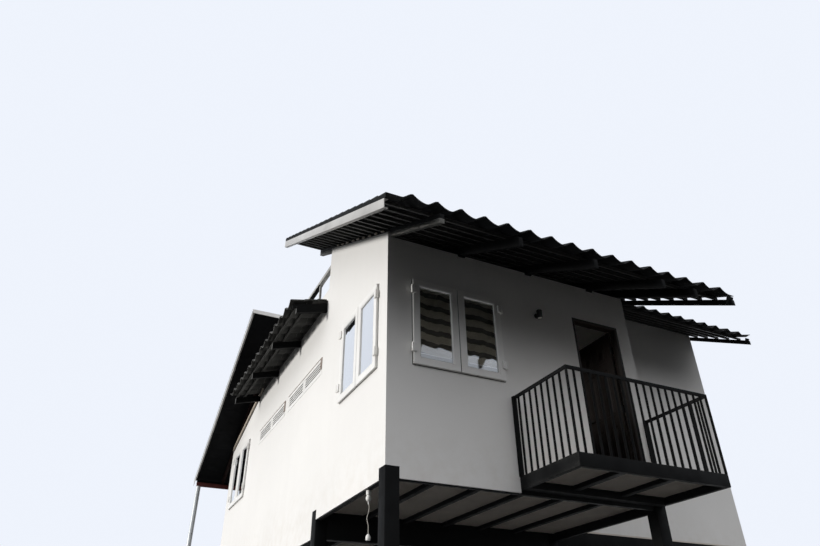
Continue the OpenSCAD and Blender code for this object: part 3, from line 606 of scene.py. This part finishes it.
def front_place(x, y, z):
    return (WIN_X + x, y, SILL + z)


def left_place(y0, width=WIN_W, z0=SILL):
    return lambda x, y, z: (y, y0 + width - x, z0 + z)


def right_place(y0):
    return lambda x, y, z: (MAIN_W - y, y0 + x, SILL + z)


def back_place(x0):
    return lambda x, y, z: (x0 + WIN_W - x, BACK_Y - y, SILL + z)


WINDOWS = {
    "front_window": [front_place],
    "left_windows": [left_place(0.24), left_place(6.27)],
    "right_windows": [right_place(2.58), right_place(6.27)],
    "back_windows": [back_place(1.2175), back_place(4.7925)],
}
# Insets and depths of the sashes, the fixed frame and the seals
SASH_PROFILE = [
    (0, 0.0095), (0, -0.0275), (0.0025, -0.03), (0.0655, -0.03), (0.0675, -0.0278),
    (0.0695, -0.0293), (0.0825, -0.0262), (SASH, -0.0145), (SASH, 0.0095)]
FIXED_PROFILE = [(0, 0.0105), (FIXED, 0.0105), (FIXED, 0.046), (FIXED - 0.004, 0.05), (0, 0.05)]
GLASS_SEAL = [(SASH - 0.001, -0.0135), (SASH + 0.005, -0.0135), (SASH + 0.0065, -0.0127),
              (SASH - 0.001, -0.0127)]
WALL_SEAL = [(0, 0.0), (0, -0.0015), (0.007, -0.0015), (0.007, 0.0)]
WALL_SEAL_OUT, EDGE_GAP, JOINT_GAP = 0.006, 0.0015, 0.0055
HINGE_Z, HINGE_HALF, HINGE_OUT = (0.185, 0.9), 0.046, -0.046
HINGE_PIN = [(0.005, 0), (0.0075, 0.003), (0.0075, 0.097), (0.005, 0.1)]
HINGE_SCREW = [(0.0052, 0.0005), (0.0052, -0.0005), (0.004, -0.0014), (0.0015, -0.0014)]
HANDLE_NECK = [(0.008, 0), (0.008, 0.022), (0.006, 0.026)]
for node, places in WINDOWS.items():
    frames, hinges, seals, handles = Shape(), Shape(), Shape(), Shape()
    for place in places:
        for shape in (frames, hinges, seals, handles):
            shape.place = place
        frames.frame((0, WIN_W), (0, WIN_H), FIXED_PROFILE)
        for x, left, right in ((0.0, EDGE_GAP, JOINT_GAP), (HALF, JOINT_GAP, EDGE_GAP)):
            frames.frame((x + left, x + HALF - right), (EDGE_GAP, WIN_H - EDGE_GAP), SASH_PROFILE)
            seals.frame((x, x + HALF), (0, WIN_H), GLASS_SEAL)
        seals.frame((-WALL_SEAL_OUT, WIN_W + WALL_SEAL_OUT),
                    (-WALL_SEAL_OUT, WIN_H + WALL_SEAL_OUT), WALL_SEAL)
        # Strips behind and in the joint where the sashes meet
        seals.box(around(HALF, 0.02), (0.0096, 0.0125), (0.02, WIN_H - 0.02))
        seals.box(around(HALF, 0.007), (-0.022, -0.016), (0.006, WIN_H - 0.006))
        for x, way in ((0.001, 1), (WIN_W - 0.001, -1)):
            for z in HINGE_Z:
                hinges.box(sorted((x - way * 0.021, x + way * 0.036)), (HINGE_OUT, -0.008),
                           around(z, HINGE_HALF))
                hinges.lathe((x - way * 0.0205, -0.0455, z - 0.05), HINGE_PIN, sides=16)
                for screw_z in around(z, 0.028):
                    hinges.lathe((x + way * 0.018, HINGE_OUT, screw_z), HINGE_SCREW, "y", 12, 1)
        for x in around(HALF, SASH / 2):
            handles.box(around(x, 0.013), (0.0094, 0.0165), (0.37, 0.44))
            handles.lathe((x, 0.016, 0.42), HANDLE_NECK, "y", 16)
            handles.box(around(x, 0.009), (0.03, 0.041), (0.305, 0.43))
    frames.piece(node.replace("window", "window_frame"), "window_white", replaces=[node])
    side = node.split("_")[0]
    hinges.piece(f"{side}_window_hinges", "window_white", ["window_white", "bright_steel"],
                 bevel=0.0012, smooth=True)
    seals.piece(f"{side}_window_seals", "window_white", ["seal_and_shadow_line"])
    handles.piece(f"{side}_window_handles", "window_white", bevel=0.002, smooth=True)

# ------------------------------------------------ blinds behind the front window

BLIND_LOW, BLIND_HIGH = SASH + 0.05, WIN_H - SASH
# Height of one dense and one sheer band together, and the sheer one's share of it
BAND, SHEER = 0.153, 0.44
COLUMNS, ROWS = 30, 128


def blind_height(row):
    return BLIND_LOW + (BLIND_HIGH - BLIND_LOW) * row / ROWS


def band_phase(u, z, number):
    """Place across a dense band and the sheer one under it, with the cloth's waves in it."""
    wave = 0.008 * sin(8 * u + 1.7 * number + 3 * z) + 0.004 * sin(21 * u + 2 * number)
    return ((z - (0.24 + wave - 0.014 * u)) / BAND) % 1


def blind_depth(u, z, number):
    """How far in the cloth lies: near the glass, with a soft roll at each sheer band."""
    sag = 0.0012 * sin(5 * u + 3 * z + number)
    roll = (0.5 - 0.5 * cos(2 * pi * band_phase(u, z, number))) ** 2
    return -0.0052 + 0.007 * roll + sag


for number in (0, 1):
    x0 = number * HALF + SASH + 0.001
    x1 = x0 + HALF - 2 * SASH - 0.002
    points, faces, kinds = [], [], []
    for j in range(ROWS + 1):
        z = blind_height(j)
        for i in range(COLUMNS + 1):
            u = i / COLUMNS
            points.append((x0 + (x1 - x0) * u, blind_depth(u, z, number), z))
    for j in range(ROWS):
        for i in range(COLUMNS):
            a = j * (COLUMNS + 1) + i
            faces.append((a, a + 1, a + COLUMNS + 2, a + COLUMNS + 1))
            phase = band_phase((i + 0.5) / COLUMNS, blind_height(j + 0.5), number)
            kinds.append(int(phase < SHEER))
    cloth = Shape(front_place)
    cloth.add(points, faces)
    cloth.kinds = kinds
    blind = cloth.piece(f"blind_{number + 1}", "blind", ["blind", "blind_sheer"], smooth=True,
                        replaces=["window_blinds"])
    rails = Shape(front_place)
    rails.box((x0 + 0.004, x1 - 0.004), (-0.0035, 0.0035), (BLIND_LOW + 0.001, BLIND_LOW + 0.011))
    rails.box((x0 - 0.02, x1 + 0.02), (0.011, 0.036), (BLIND_HIGH + 0.002, BLIND_HIGH + 0.032))
    rails = rails.piece(f"blind_rails_{number + 1}", "blind", ["window_white"], bevel=0.0015,
                        smooth=True)

# ------------------------------------------------ vents in the left wall

VENT_Y, VENT_W, VENT_H, VENT_Z = (2.23, 3.025, 3.98, 4.775), 0.695, 0.19, 5.03
VENT_RIM, VENT_LIP = 0.046, 0.013
SLATS, SLAT_STEP, SLAT_Z = 4, 0.0385, 0.0235
SLAT = [(0.003, 0), (0.008, 0.001), (0.008, 0.0215), (0.0025, 0.0205)]
RIM_PROFILE = [(0, 0.0), (0, -0.0045), (0.03, -0.0045), (0.042, -0.004), (0.0465, 0.0)]
vents = Shape()
for number, y0 in enumerate(VENT_Y):
    vents.place = left_place(y0, VENT_W, VENT_Z)
    across = (-VENT_RIM, VENT_W + VENT_RIM)
    inside = (VENT_LIP, VENT_W - VENT_LIP)
    vents.frame(across, (-0.027, VENT_H + 0.027), RIM_PROFILE)
    vents.box(across, (-0.011, 0.0), (VENT_H + 0.028, VENT_H + 0.034), 1)
    vents.frame((0.0, VENT_W), (0.0, VENT_H), oblong((0, 0.014), (0.0, 0.1)))
    for k in range(SLATS):
        z = SLAT_Z + k * SLAT_STEP
        vents.bar(lambda x, y, up: (x, y, z + up), SLAT, inside)
    vents.box(inside, (0.016, 0.02), (VENT_LIP, VENT_H - VENT_LIP), 2)
    # Block at the front end of each pair
    if number % 2 == 0:
        vents.box((VENT_W + 0.004, VENT_W + 0.05), (-0.0125, -0.0005), (0.045, VENT_H + 0.03), 1)
vents.piece("vent_louvres", "window_white", ["window_white", "tan", "seal_and_shadow_line"], bevel=0.0008,
            segments=1, replaces=["left_vents"])

# ------------------------------------------------ door

LEAF_X, LEAF_Y, LEAF_Z = 3.187, 0.103, FLOOR + 0.003
LEAF_W, LEAF_T, LEAF_H = 0.65, 0.038, 2.059
SUNK = 0.009


def leaf_place(x, y, z):
    """The leaf stands open at a right angle, so its width runs into the room."""
    return (LEAF_X + y, LEAF_Y + x, LEAF_Z + z)


leaf = Shape(leaf_place)
leaf.box((0.05, LEAF_W - 0.05), (SUNK, LEAF_T - SUNK), (0.06, LEAF_H - 0.06))
stiles = [(0, 0.105), (0.2875, 0.3625), (LEAF_W - 0.105, LEAF_W)]
rails = [(0, 0.2), (0.86, 0.99), (1.6, 1.69), (LEAF_H - 0.11, LEAF_H)]
# Insets and depths of the moulding and the raised panel inside each opening
PANEL = [[(0, 0.001), (0.006, 0.0015), (0.014, 0.007), (0.016, 0.0095), (0, 0.0095)],
         [(0.016, 0.0095), (0.034, 0.0085), (0.052, 0.0035), (0.11, 0.0035), (0.11, 0.0095)]]
for x in (stiles[0], stiles[2]):
    leaf.box(x, (0, LEAF_T), (0, LEAF_H))
for z in rails:
    leaf.box((stiles[0][1], stiles[2][0]), (0.0004, LEAF_T - 0.0004), z)
for below, above in zip(rails, rails[1:]):
    z = (below[1], above[0])
    leaf.box(stiles[1], (0.0008, LEAF_T - 0.0008), z)
    for a, b in zip(stiles, stiles[1:]):
        for face, way in ((0.0, 1), (LEAF_T, -1)):
            for profile in PANEL:
                leaf.frame((a[1], b[0]), z, [(inset, face + way * d) for inset, d in profile])
leaf.piece("panelled_door", "door_wood", bevel=0.0012, replaces=["door_leaf"])

HINGE_H, HANDLE_Z, KEY_Z = 0.1, 4.29, 4.21
HANDLE_Y = LEAF_Y + LEAF_W - 0.055
fittings = Shape()


def rosette(x, z, way, sides, profile):
    """A turned fitting on a face of the leaf, from pairs of radius and distance from it."""
    fittings.lathe((x, HANDLE_Y, z), [(r, way * out) for r, out in profile], "x", sides)


for share in (0.1, 0.5, 0.9):
    z = LEAF_Z + share * (LEAF_H - HINGE_H)
    fittings.box((LEAF_X, LEAF_X + 0.073), (0.1001, 0.1029), (z, z + HINGE_H))
    fittings.lathe((LEAF_X - 0.006, 0.1015, z),
                   [(0.003, 0), (0.0055, 0.002), (0.0055, 0.098), (0.003, 0.1)], sides=14)
for x, way in ((LEAF_X, -1), (LEAF_X + LEAF_T, 1)):
    rosette(x, HANDLE_Z, way, 28, [(0.024, 0), (0.024, 0.006), (0.021, 0.009), (0.009, 0.009)])
    rosette(x, HANDLE_Z, way, 16, [(0.0085, 0.009), (0.0085, 0.045), (0.006, 0.048)])
    fittings.box(sorted((x + way * 0.033, x + way * 0.045)), (HANDLE_Y - 0.115, HANDLE_Y + 0.007),
                 around(HANDLE_Z, 0.009))
    rosette(x, KEY_Z, way, 20, [(0.013, 0), (0.013, 0.005), (0.004, 0.005)])
fittings.piece("door_fittings", "lamp_black", ["lamp_black"], bevel=0.0012, smooth=True)
soften("door_frame", 0.003)

# ------------------------------------------------ roof tiles

TILES_LEFT, BLOCK_COLUMNS, WING_COLUMNS = LEFT_VERGE + 0.001, 17, 12
WING_LEFT = TILES_LEFT + BLOCK_COLUMNS * TILE_W
TILE_STEPS, TILE_THICK, TILE_ROLL, TILE_LIFT = 12, 0.006, 0.055, 0.012
FIRST_COURSE, OVERLAP, VALLEY = 0.004, 0.04, 0.6
SLOPE_END = (HIGH_EDGE_Y - EAVE_Y) * UP
WING_START = (WING_EAVE_Y - EAVE_Y) * UP + 0.003


def tile_wave(t):
    """Height of a tile at a share of its width: a roll at its left that falls into a valley."""
    if t < VALLEY:
        return (1 - t / VALLEY) ** 1.8
    return 0.5 - 0.5 * cos(pi * (t - VALLEY) / (1 - VALLEY))


def tile_field(shape, spot, widths, rows, wave, thick, cut=1.0, flat_start=False):
    """Rows of single overlapping tiles. spot(u, s, n) places a point across, up the slope and
    out of it. The last tile of each row is cut off at a share of its width and stays flat
    there, and the first may start flat."""
    nose = 0.35 * thick
    for s0, s1 in rows:
        for column, (u0, u1) in enumerate(widths):
            last = cut if column == len(widths) - 1 else 1.0
            jog = random.uniform(-0.0015, 0.0015)
            top, low = [], []
            for k in range(TILE_STEPS + 1):
                t = last * k / TILE_STEPS
                flat = t < VALLEY and flat_start and column == 0 or t >= VALLEY and last < 1.0
                height = (0.0 if flat else wave * tile_wave(t)) + jog
                u = u0 + (u1 - u0) * t
                top.append((u, 2 * thick + height))
                low.append((u, height))
            ring = top + low[::-1]
            drops = [-2 * nose] * len(top) + [nose * 0.3] * len(low)
            shape.rings([
                [spot(u, s0, n + TILE_LIFT + drop) for (u, n), drop in zip(ring, drops)],
                [spot(u, s0 + 0.016, n + TILE_LIFT) for u, n in ring],
                [spot(u, s1, n) for u, n in ring]])


def front_spot(u, s, n):
    """A place on the front tiles' bed: across, up the slope from the eave, and out of it."""
    return (u, EAVE_Y + s * cos(PITCH_ROOF) - n * sin(PITCH_ROOF),
            front_plane(EAVE_Y) + TILE_LOW + s * sin(PITCH_ROOF) + n * cos(PITCH_ROOF))


def courses(start):
    """Lower and upper end of each row of tiles above a start."""
    rows, s = [], FIRST_COURSE
    while s < SLOPE_END - 0.06:
        if s + COURSE > start + 0.03:
            rows.append((max(s, start), min(s + COURSE + OVERLAP, SLOPE_END - 0.002)))
        s += COURSE
    return rows


random.seed(4)
front_tiles = Shape()
front_rows = courses(FIRST_COURSE)
# Below the wing's eave the last tiles end at the verge; above it they run on into the wing
for rows, cut in (([row for row in front_rows if row[0] < WING_START], 0.84),
                  ([row for row in front_rows if row[0] >= WING_START], 1.0)):
    tile_field(front_tiles, front_spot, evenly(TILES_LEFT, WING_LEFT, BLOCK_COLUMNS), rows,
               TILE_ROLL, TILE_THICK, cut, flat_start=True)
front_tiles.piece("front_tile_rows", "roof_tile", smooth=True, replaces=["front_roof_tiles"])
wing_tiles = Shape()
tile_field(wing_tiles, front_spot, evenly(WING_LEFT, RIGHT_VERGE, WING_COLUMNS),
           courses(WING_START), TILE_ROLL, TILE_THICK)
tile_field(wing_tiles, front_spot, [(BLOCK_VERGE + 0.0005, WING_LEFT)], courses(WING_START)[:1],
           0.01, TILE_THICK)
wing_tiles.piece("wing_tile_rows", "roof_tile", smooth=True, replaces=["wing_roof_tiles"])

# Bent sheet over the high edge of the front roof
CAP_LAP, CAP_TOP, CAP_LOW = 0.16, 0.0835, -0.03
cap = Shape()
cap.bar(front_spot, [
    (SLOPE_END - CAP_LAP, CAP_TOP), (SLOPE_END - CAP_LAP, CAP_TOP - 0.002),
    (SLOPE_END - 0.004, CAP_TOP - 0.002), (SLOPE_END - 0.004, CAP_LOW), (SLOPE_END, CAP_LOW),
    (SLOPE_END, CAP_TOP)], (-0.37, RIGHT_VERGE - 0.001))
cap.piece("high_edge_cap", "roof_sheet", bevel=0.001)

# Screwed strip on the ends of the battens along the left verge
STRIP_Y = EAVE_Y + 0.01


def strip_spot(s, x, n):
    return (x, STRIP_Y + s * cos(PITCH_ROOF), front_plane(STRIP_Y) + s * sin(PITCH_ROOF) + n * UP)


strip = Shape()
strip.bar(strip_spot, oblong((LEFT_VERGE + 0.0002, LEFT_VERGE + 0.004), (0.103, 0.142)),
          (0, SLOPE_END - 0.02))
strip.piece("verge_strip", "black_steel")

AWNING, AWNING_Y, AWNING_OUT = radians(15), (2.12, 5.9), 0.53
AWNING_TILE, AWNING_BATTEN, AWNING_RAFTER = 0.06, 0.02, 0.1
AWNING_COLUMNS, AWNING_ROLL, AWNING_THICK = 14, 0.056, 0.009
AWNING_LOW = TERRACE_TOP - AWNING_OUT * tan(AWNING) - AWNING_TILE / cos(AWNING)
AWNING_END = AWNING_OUT / cos(AWNING) - 0.002
AWNING_ROWS = [(0.004, 0.25), (0.21, 0.44), (0.4, AWNING_END)]


def awning_spot(u, s, n):
    return (-AWNING_OUT + s * cos(AWNING) - n * sin(AWNING), u,
            AWNING_LOW + s * sin(AWNING) + n * cos(AWNING))


awning = Shape()
tile_field(awning, awning_spot, evenly(*AWNING_Y, AWNING_COLUMNS), AWNING_ROWS, AWNING_ROLL,
           AWNING_THICK)
awning.piece("awning_tile_rows", "roof_tile", ["awning_tile"], smooth=True,
             replaces=["awning_tiles"])


def under_awning(y, x, depth):
    return (x, y, TERRACE_TOP + x * tan(AWNING) - depth / cos(AWNING))


def awning_bar(shape, x, y, depths, kind=0):
    """A bar under the awning between two depths below its upper face, square to the slope."""
    shape.bar(under_awning, oblong(x, depths), y, kind)


under = AWNING_TILE + AWNING_BATTEN
rafter = (under + AWNING_RAFTER, under)
RAFTER_END, RAFTER_W, END_PLATE = -0.44, 0.05, (-0.4425, -0.4398)
awning_rafters = Shape()
for i in range(4):
    y0 = AWNING_Y[0] + i * (AWNING_Y[1] - AWNING_Y[0] - RAFTER_W) / 3
    awning_bar(awning_rafters, (RAFTER_END, 0), (y0, y0 + RAFTER_W), rafter)
    awning_bar(awning_rafters, END_PLATE, (y0 - 0.002, y0 + RAFTER_W + 0.002), rafter, 1)
# Closing pieces at the awning's front end
awning_bar(awning_rafters, (-0.5, RAFTER_END), (AWNING_Y[0] + 0.001, AWNING_Y[0] + 0.019),
           (AWNING_TILE + 0.05, AWNING_TILE - 0.004))
awning_bar(awning_rafters, (RAFTER_END, 0), (AWNING_Y[0] - 0.001, AWNING_Y[0] + 0.0005),
           (under + 0.02, AWNING_TILE - 0.004))
awning_rafters.piece("awning_rafters", "black_steel", ["black_steel", "batten_steel"],
                     bevel=0.0015, replaces=["awning_frame"])
awning_battens = Shape()
for x in (RAFTER_END, -0.305):
    awning_bar(awning_battens, (x, x + 0.04), AWNING_Y, (under, AWNING_TILE))
# A dark strip against the wall under the tiles: painted shade where the tiles meet the wall
awning_bar(awning_battens, (-0.0145, -0.0005), AWNING_Y, (AWNING_TILE + 0.004, 0.004))
awning_battens.piece("awning_battens", "black_steel", ["awning_steel"], bevel=0.001,
                     replaces=["awning_frame"])

# ------------------------------------------------ back roof

SHEET_X, SHEET_Y = (LEFT_VERGE, 7.75), (4.85, 8.8)
RIBS, RIB_W, RIB_H, RIB_FLANK = 26, 0.06, 0.018, 0.006
SHEET_LOW, SHEET_TOP, BOARD_T, BOARDS = 0.1, 0.122, 0.004, 13
RIB_STEP = (SHEET_X[1] - SHEET_X[0] - 2 * RIB_W) / (RIBS - 1)
SCREW_Y, CAP_SCREWS = (4.95, 5.6, 6.25, 6.9, 7.55, 8.2, 8.62), 14


def back_spot(x, y, n):
    return (x, y, back_plane(y) + n * UP)


def along_slope(y, x, n):
    return back_spot(x, y, n)


profile = [(SHEET_X[0], SHEET_TOP)]
for i in range(RIBS):
    x = SHEET_X[0] + RIB_W / 2 + i * RIB_STEP
    profile += [(x - RIB_FLANK, SHEET_TOP), (x + RIB_FLANK, SHEET_TOP + RIB_H),
                (x + RIB_W - RIB_FLANK, SHEET_TOP + RIB_H), (x + RIB_W + RIB_FLANK, SHEET_TOP)]
profile += [(SHEET_X[1], SHEET_TOP), (SHEET_X[1], SHEET_LOW + BOARD_T),
            (SHEET_X[0], SHEET_LOW + BOARD_T)]
sheet = Shape()
sheet.bar(along_slope, profile, SHEET_Y)
# Boards under the sheet, with open joints across the slope
for y0, y1 in evenly(*SHEET_Y, BOARDS):
    sheet.bar(along_slope, oblong(SHEET_X, (SHEET_LOW, SHEET_LOW + BOARD_T + 0.0001)),
              (y0 + 0.0015, y1 - 0.0015))
sheet.piece("ribbed_back_sheet", "roof_sheet", replaces=["back_roof_sheet"])

screws = Shape()
for i in range(RIBS):
    for y in SCREW_Y:
        x, _, z = back_spot(SHEET_X[0] + RIB_W + i * RIB_STEP, y, SHEET_TOP + RIB_H)
        screws.lathe((x, y, z - 0.001),
                     [(0.0095, 0), (0.0095, 0.0022), (0.0055, 0.0026), (0.0055, 0.007)], sides=6)
for i in range(CAP_SCREWS):
    screws.lathe(front_spot(-0.44 + 2 * TILE_W * i, SLOPE_END - CAP_LAP / 2, CAP_TOP - 0.0005),
                 [(0.0095, -0.002), (0.0095, 0.001), (0.0055, 0.0015), (0.0055, 0.006)], sides=6)
screws.piece("roofing_screws", "roof_sheet", ["bright_steel"])

fascia = Shape()
fascia.bar(back_spot, oblong((SHEET_Y[0] - 0.007, SHEET_Y[0] - 0.0005), (0.08, 0.143)), SHEET_X)
fascia.piece("back_roof_fascia", "light_steel", ["window_white"])

eave = Shape()
eave.bar(back_spot, oblong((8.757, 8.763), (0.012, 0.087)), (-0.5, 7.7))
eave.piece("back_eave_board", "black_steel")

# ------------------------------------------------ trim on walls and terrace

CAP_OUT, CAP_IN, CAP_Y = 0.034, 0.105, (TERRACE_END + 0.001, BACK_Y - 0.101)
trim = Shape()


def on_side_wall(y, x, up):
    """A place by the sloping top of the side walls."""
    slope = (BACK_WALL_TOP - TERRACE_TOP) / (BACK_Y - TERRACE_END)
    return (x, y, TERRACE_TOP + (y - TERRACE_END) * slope + up)


for x in ((-CAP_OUT, CAP_IN), (MAIN_W - CAP_IN, MAIN_W + CAP_OUT)):
    trim.bar(on_side_wall, oblong(x, (-0.045, 0.012)), CAP_Y)
# Dark strips under the caps: painted shadow lines where each cap shades the wall below it
for x in ((-0.037, -0.033), (-0.012, 0.001), (MAIN_W - 0.001, MAIN_W + 0.012),
          (MAIN_W + 0.033, MAIN_W + 0.037)):
    trim.bar(on_side_wall, oblong(x, (-0.057, -0.046)), CAP_Y, 1)
trim.piece("sloping_wall_caps", "white_wall", ["cream", "seal_and_shadow_line"], bevel=0.002)

RAIL_W, RAIL_Y = 0.06, (2.62, 5.5)
RAIL_Z = back_plane(RAIL_Y[1]) - 0.022 - RAIL_W
# Black strips round the foot of each terrace rail: painted shade along the rail's underside
rail_under = Shape()
for x in (0.0, MAIN_W - RAIL_W):
    rail_under.box((x - 0.0015, x + RAIL_W + 0.0015), (RAIL_Y[0] + 0.001, RAIL_Y[1] - 0.001),
                   (RAIL_Z - 0.003, RAIL_Z + 0.012))
rail_under.piece("terrace_rail_shade_strips", "black_steel", bevel=0.001)

# Pale dabs between the battens above the wall, and dull ones on the tube in front of it
random.seed(9)
dabs = Shape()
DAB_SIDES = 10
# Share of a dab's length and of its thickness at each ring
DAB_RINGS = [(0, 0.45), (0.12, 0.85), (0.4, 1), (0.75, 0.92), (0.93, 0.7), (1, 0.35)]


def dab(y, length, height, x, depth, up, kind=0):
    """A rounded smear that follows the slope, thickest in its middle."""
    rings = []
    for share, grow in DAB_RINGS:
        b = y + share * length
        z = front_plane(b) + up * UP + 0.004 * sin(7 * b)
        turns = [2 * pi * k / DAB_SIDES for k in range(DAB_SIDES)]
        rings.append([(x - depth * cos(a) * grow, b, z + 0.5 * height * sin(a) * grow)
                      for a in turns])
    dabs.rings(rings, kind)


for i in range(9):
    dab(0.14 + i * COURSE_PLAN + random.uniform(-0.01, 0.01), random.uniform(0.085, 0.115),
        random.uniform(0.03, 0.042), 0.008, 0.012, 0.078)
for i in range(8):
    dab(-0.97 + i * 0.115 + random.uniform(-0.02, 0.02), random.uniform(0.09, 0.13),
        random.uniform(0.02, 0.034), 0.026, 0.003, random.uniform(0.006, 0.024), 1)
dabs.piece("pale_dabs", "white_wall", ["dab_pale", "dab_dull"], smooth=True)

# Plates that hold the rafters on the front wall, and the ends of the bars at the right verges
cleats = Shape()
for x in (0.967, 1.934, 2.901):
    cleats.bar(lambda y, a, up: (a, y, WALL_TOP + 0.004 + up),
               oblong(around(x, 0.045), (-0.034, 0.0)), (-0.022, -0.0005))
for start, ends in ((0, (3.93, BLOCK_VERGE - 0.001)), (WING_START, (7.2, RIGHT_VERGE - 0.001))):
    cleats.bar(front_spot, oblong((start + 0.003, start + 0.006), (-0.1, 0.0)), ends)
cleats.piece("rafter_cleats", "black_steel", bevel=0.001)

# ------------------------------------------------ bolts

FOOT_TOP, POST_W, BOLT_OUT = 0.016, 0.15, 0.035
FOOT_BOLT, PIPE_BOLT, PIPE_BOLT_R, PIPE_Y = 0.012, 0.008, 0.067, 8.685
POSTS = [(0, 0), (3.3, 0)] + [(x, y) for x in (0, 3.3, 7.0) for y in (2.0, 4.825, 7.65)]
bolts = Shape()


def anchor(x, y, nut):
    """Washer, hexagon nut and the end of the threaded rod on a foot plate."""
    z = FOOT_TOP
    bolts.lathe((x, y, z), [(nut * 1.5, 0), (nut * 1.5, 0.0025)], sides=20)
    bolts.lathe((x, y, z + 0.0025),
                [(nut * 0.9, 0), (nut, 0.001), (nut, nut * 0.8), (nut * 0.85, nut * 0.9)], sides=6)
    bolts.lathe((x, y, z), [(nut * 0.5, 0), (nut * 0.5, nut * 2), (nut * 0.38, nut * 2.25)],
                sides=12)


for x, y in POSTS:
    for dx in (-BOLT_OUT, POST_W + BOLT_OUT):
        for dy in (-BOLT_OUT, POST_W + BOLT_OUT):
            anchor(x + dx, y + dy, FOOT_BOLT)
for x in (-0.46, 3.575, 7.66):
    for k in range(4):
        turn = pi / 4 + k * pi / 2
        anchor(x + PIPE_BOLT_R * cos(turn), PIPE_Y + PIPE_BOLT_R * sin(turn), PIPE_BOLT)
bolts.piece("foot_bolts", "galvanised_pipe", ["bright_steel"])

# ------------------------------------------------ rounded steel edges

for node, width in (("stilts", 0.005), ("floor_beams", 0.004), ("floor_joists", 0.003),
                    ("railing_front", 0.0018), ("railing_left", 0.0018),
                    ("railing_right", 0.0018), ("front_rafters", 0.003),
                    ("front_battens", 0.0015), ("terrace_rails", 0.003)):
    soften(node, width)
# Rafters under the sheet take the darker copy of the oxide, a painted shade; the eave beam beyond
# keeps the red oxide
soften("back_roof_frame", 0.003, "shaded_oxide_steel", lambda x, y, z: y < 8.5)
soften("balcony_frame", 0.003, "scuffed_steel", lambda x, y, z: x < 1.512)
soften("verge_channels", 0.0012, "tube_steel", lambda x, y, z: -0.1 < x < 0.2 and y < 3)

# ------------------------------------------------ floor and lights

STAGE, PALE, DIM = (-60, 60), (0.66, 0.66, 0.65), (0.024, 0.024, 0.0235)
floor_mesh = bpy.data.meshes.new("floor_plane")
floor_mesh.from_pydata([(x, y, 0) for x, y in oblong(STAGE, STAGE)], [], [(0, 1, 2, 3)])
floor = bpy.data.objects.new("floor_plane", floor_mesh)
bpy.context.scene.collection.objects.link(floor)


def seen(tree):
    """1 for what the camera, reflections and glass see, and 0 for light on the object."""
    ray = tree.nodes.new("ShaderNodeLightPath")
    value = ray.outputs["Is Camera Ray"]
    for other in ("Is Glossy Ray", "Is Transmission Ray"):
        most = tree.nodes.new("ShaderNodeMath")
        most.operation = "MAXIMUM"
        tree.links.new(value, most.inputs[0])
        tree.links.new(ray.outputs[other], most.inputs[1])
        value = most.outputs[0]
    return value


stage = Nodes("pale_floor", PALE, 0.9, 0, 0.1)
stage.colour(stage.mix(seen(stage.tree), DIM, PALE))
floor_mesh.materials.append(stage.material)

# The surroundings are seen pale. The object's own light comes softly from above
world = bpy.data.worlds.new("world")
world.use_nodes = True
tree = world.node_tree
shown = tree.nodes["Background"]
shown.inputs["Color"].default_value = (0.86, 0.9, 0.98, 1)
shown.inputs["Strength"].default_value = 1
split = tree.nodes.new("ShaderNodeSeparateXYZ")
tree.links.new(tree.nodes.new("ShaderNodeTexCoord").outputs["Generated"], split.inputs[0])
above = tree.nodes.new("ShaderNodeMapRange")
tree.links.new(split.outputs["Z"], above.inputs["Value"])
for name, number in zip(RANGE, (0.16, 0.6, 0.012, 1.74)):
    above.inputs[name].default_value = number
soft = tree.nodes.new("ShaderNodeBackground")
soft.inputs["Color"].default_value = (0.955, 0.965, 1, 1)
tree.links.new(above.outputs["Result"], soft.inputs["Strength"])
choose = tree.nodes.new("ShaderNodeMixShader")
tree.links.new(seen(tree), choose.inputs[0])
tree.links.new(soft.outputs[0], choose.inputs[1])
tree.links.new(shown.outputs[0], choose.inputs[2])
tree.links.new(choose.outputs[0], tree.nodes["World Output"].inputs["Surface"])
bpy.context.scene.world = world

sun = bpy.data.objects.new("key_light", bpy.data.lights.new("key_light", "SUN"))
sun.data.energy = 2.5
sun.data.angle = radians(9)
sun.data.color = (1, 0.98, 0.955)
sun.rotation_mode = "QUATERNION"
sun.rotation_quaternion = Vector((0.85, -0.1, -0.065)).to_track_quat("-Z", "Y")
bpy.context.scene.collection.objects.link(sun)
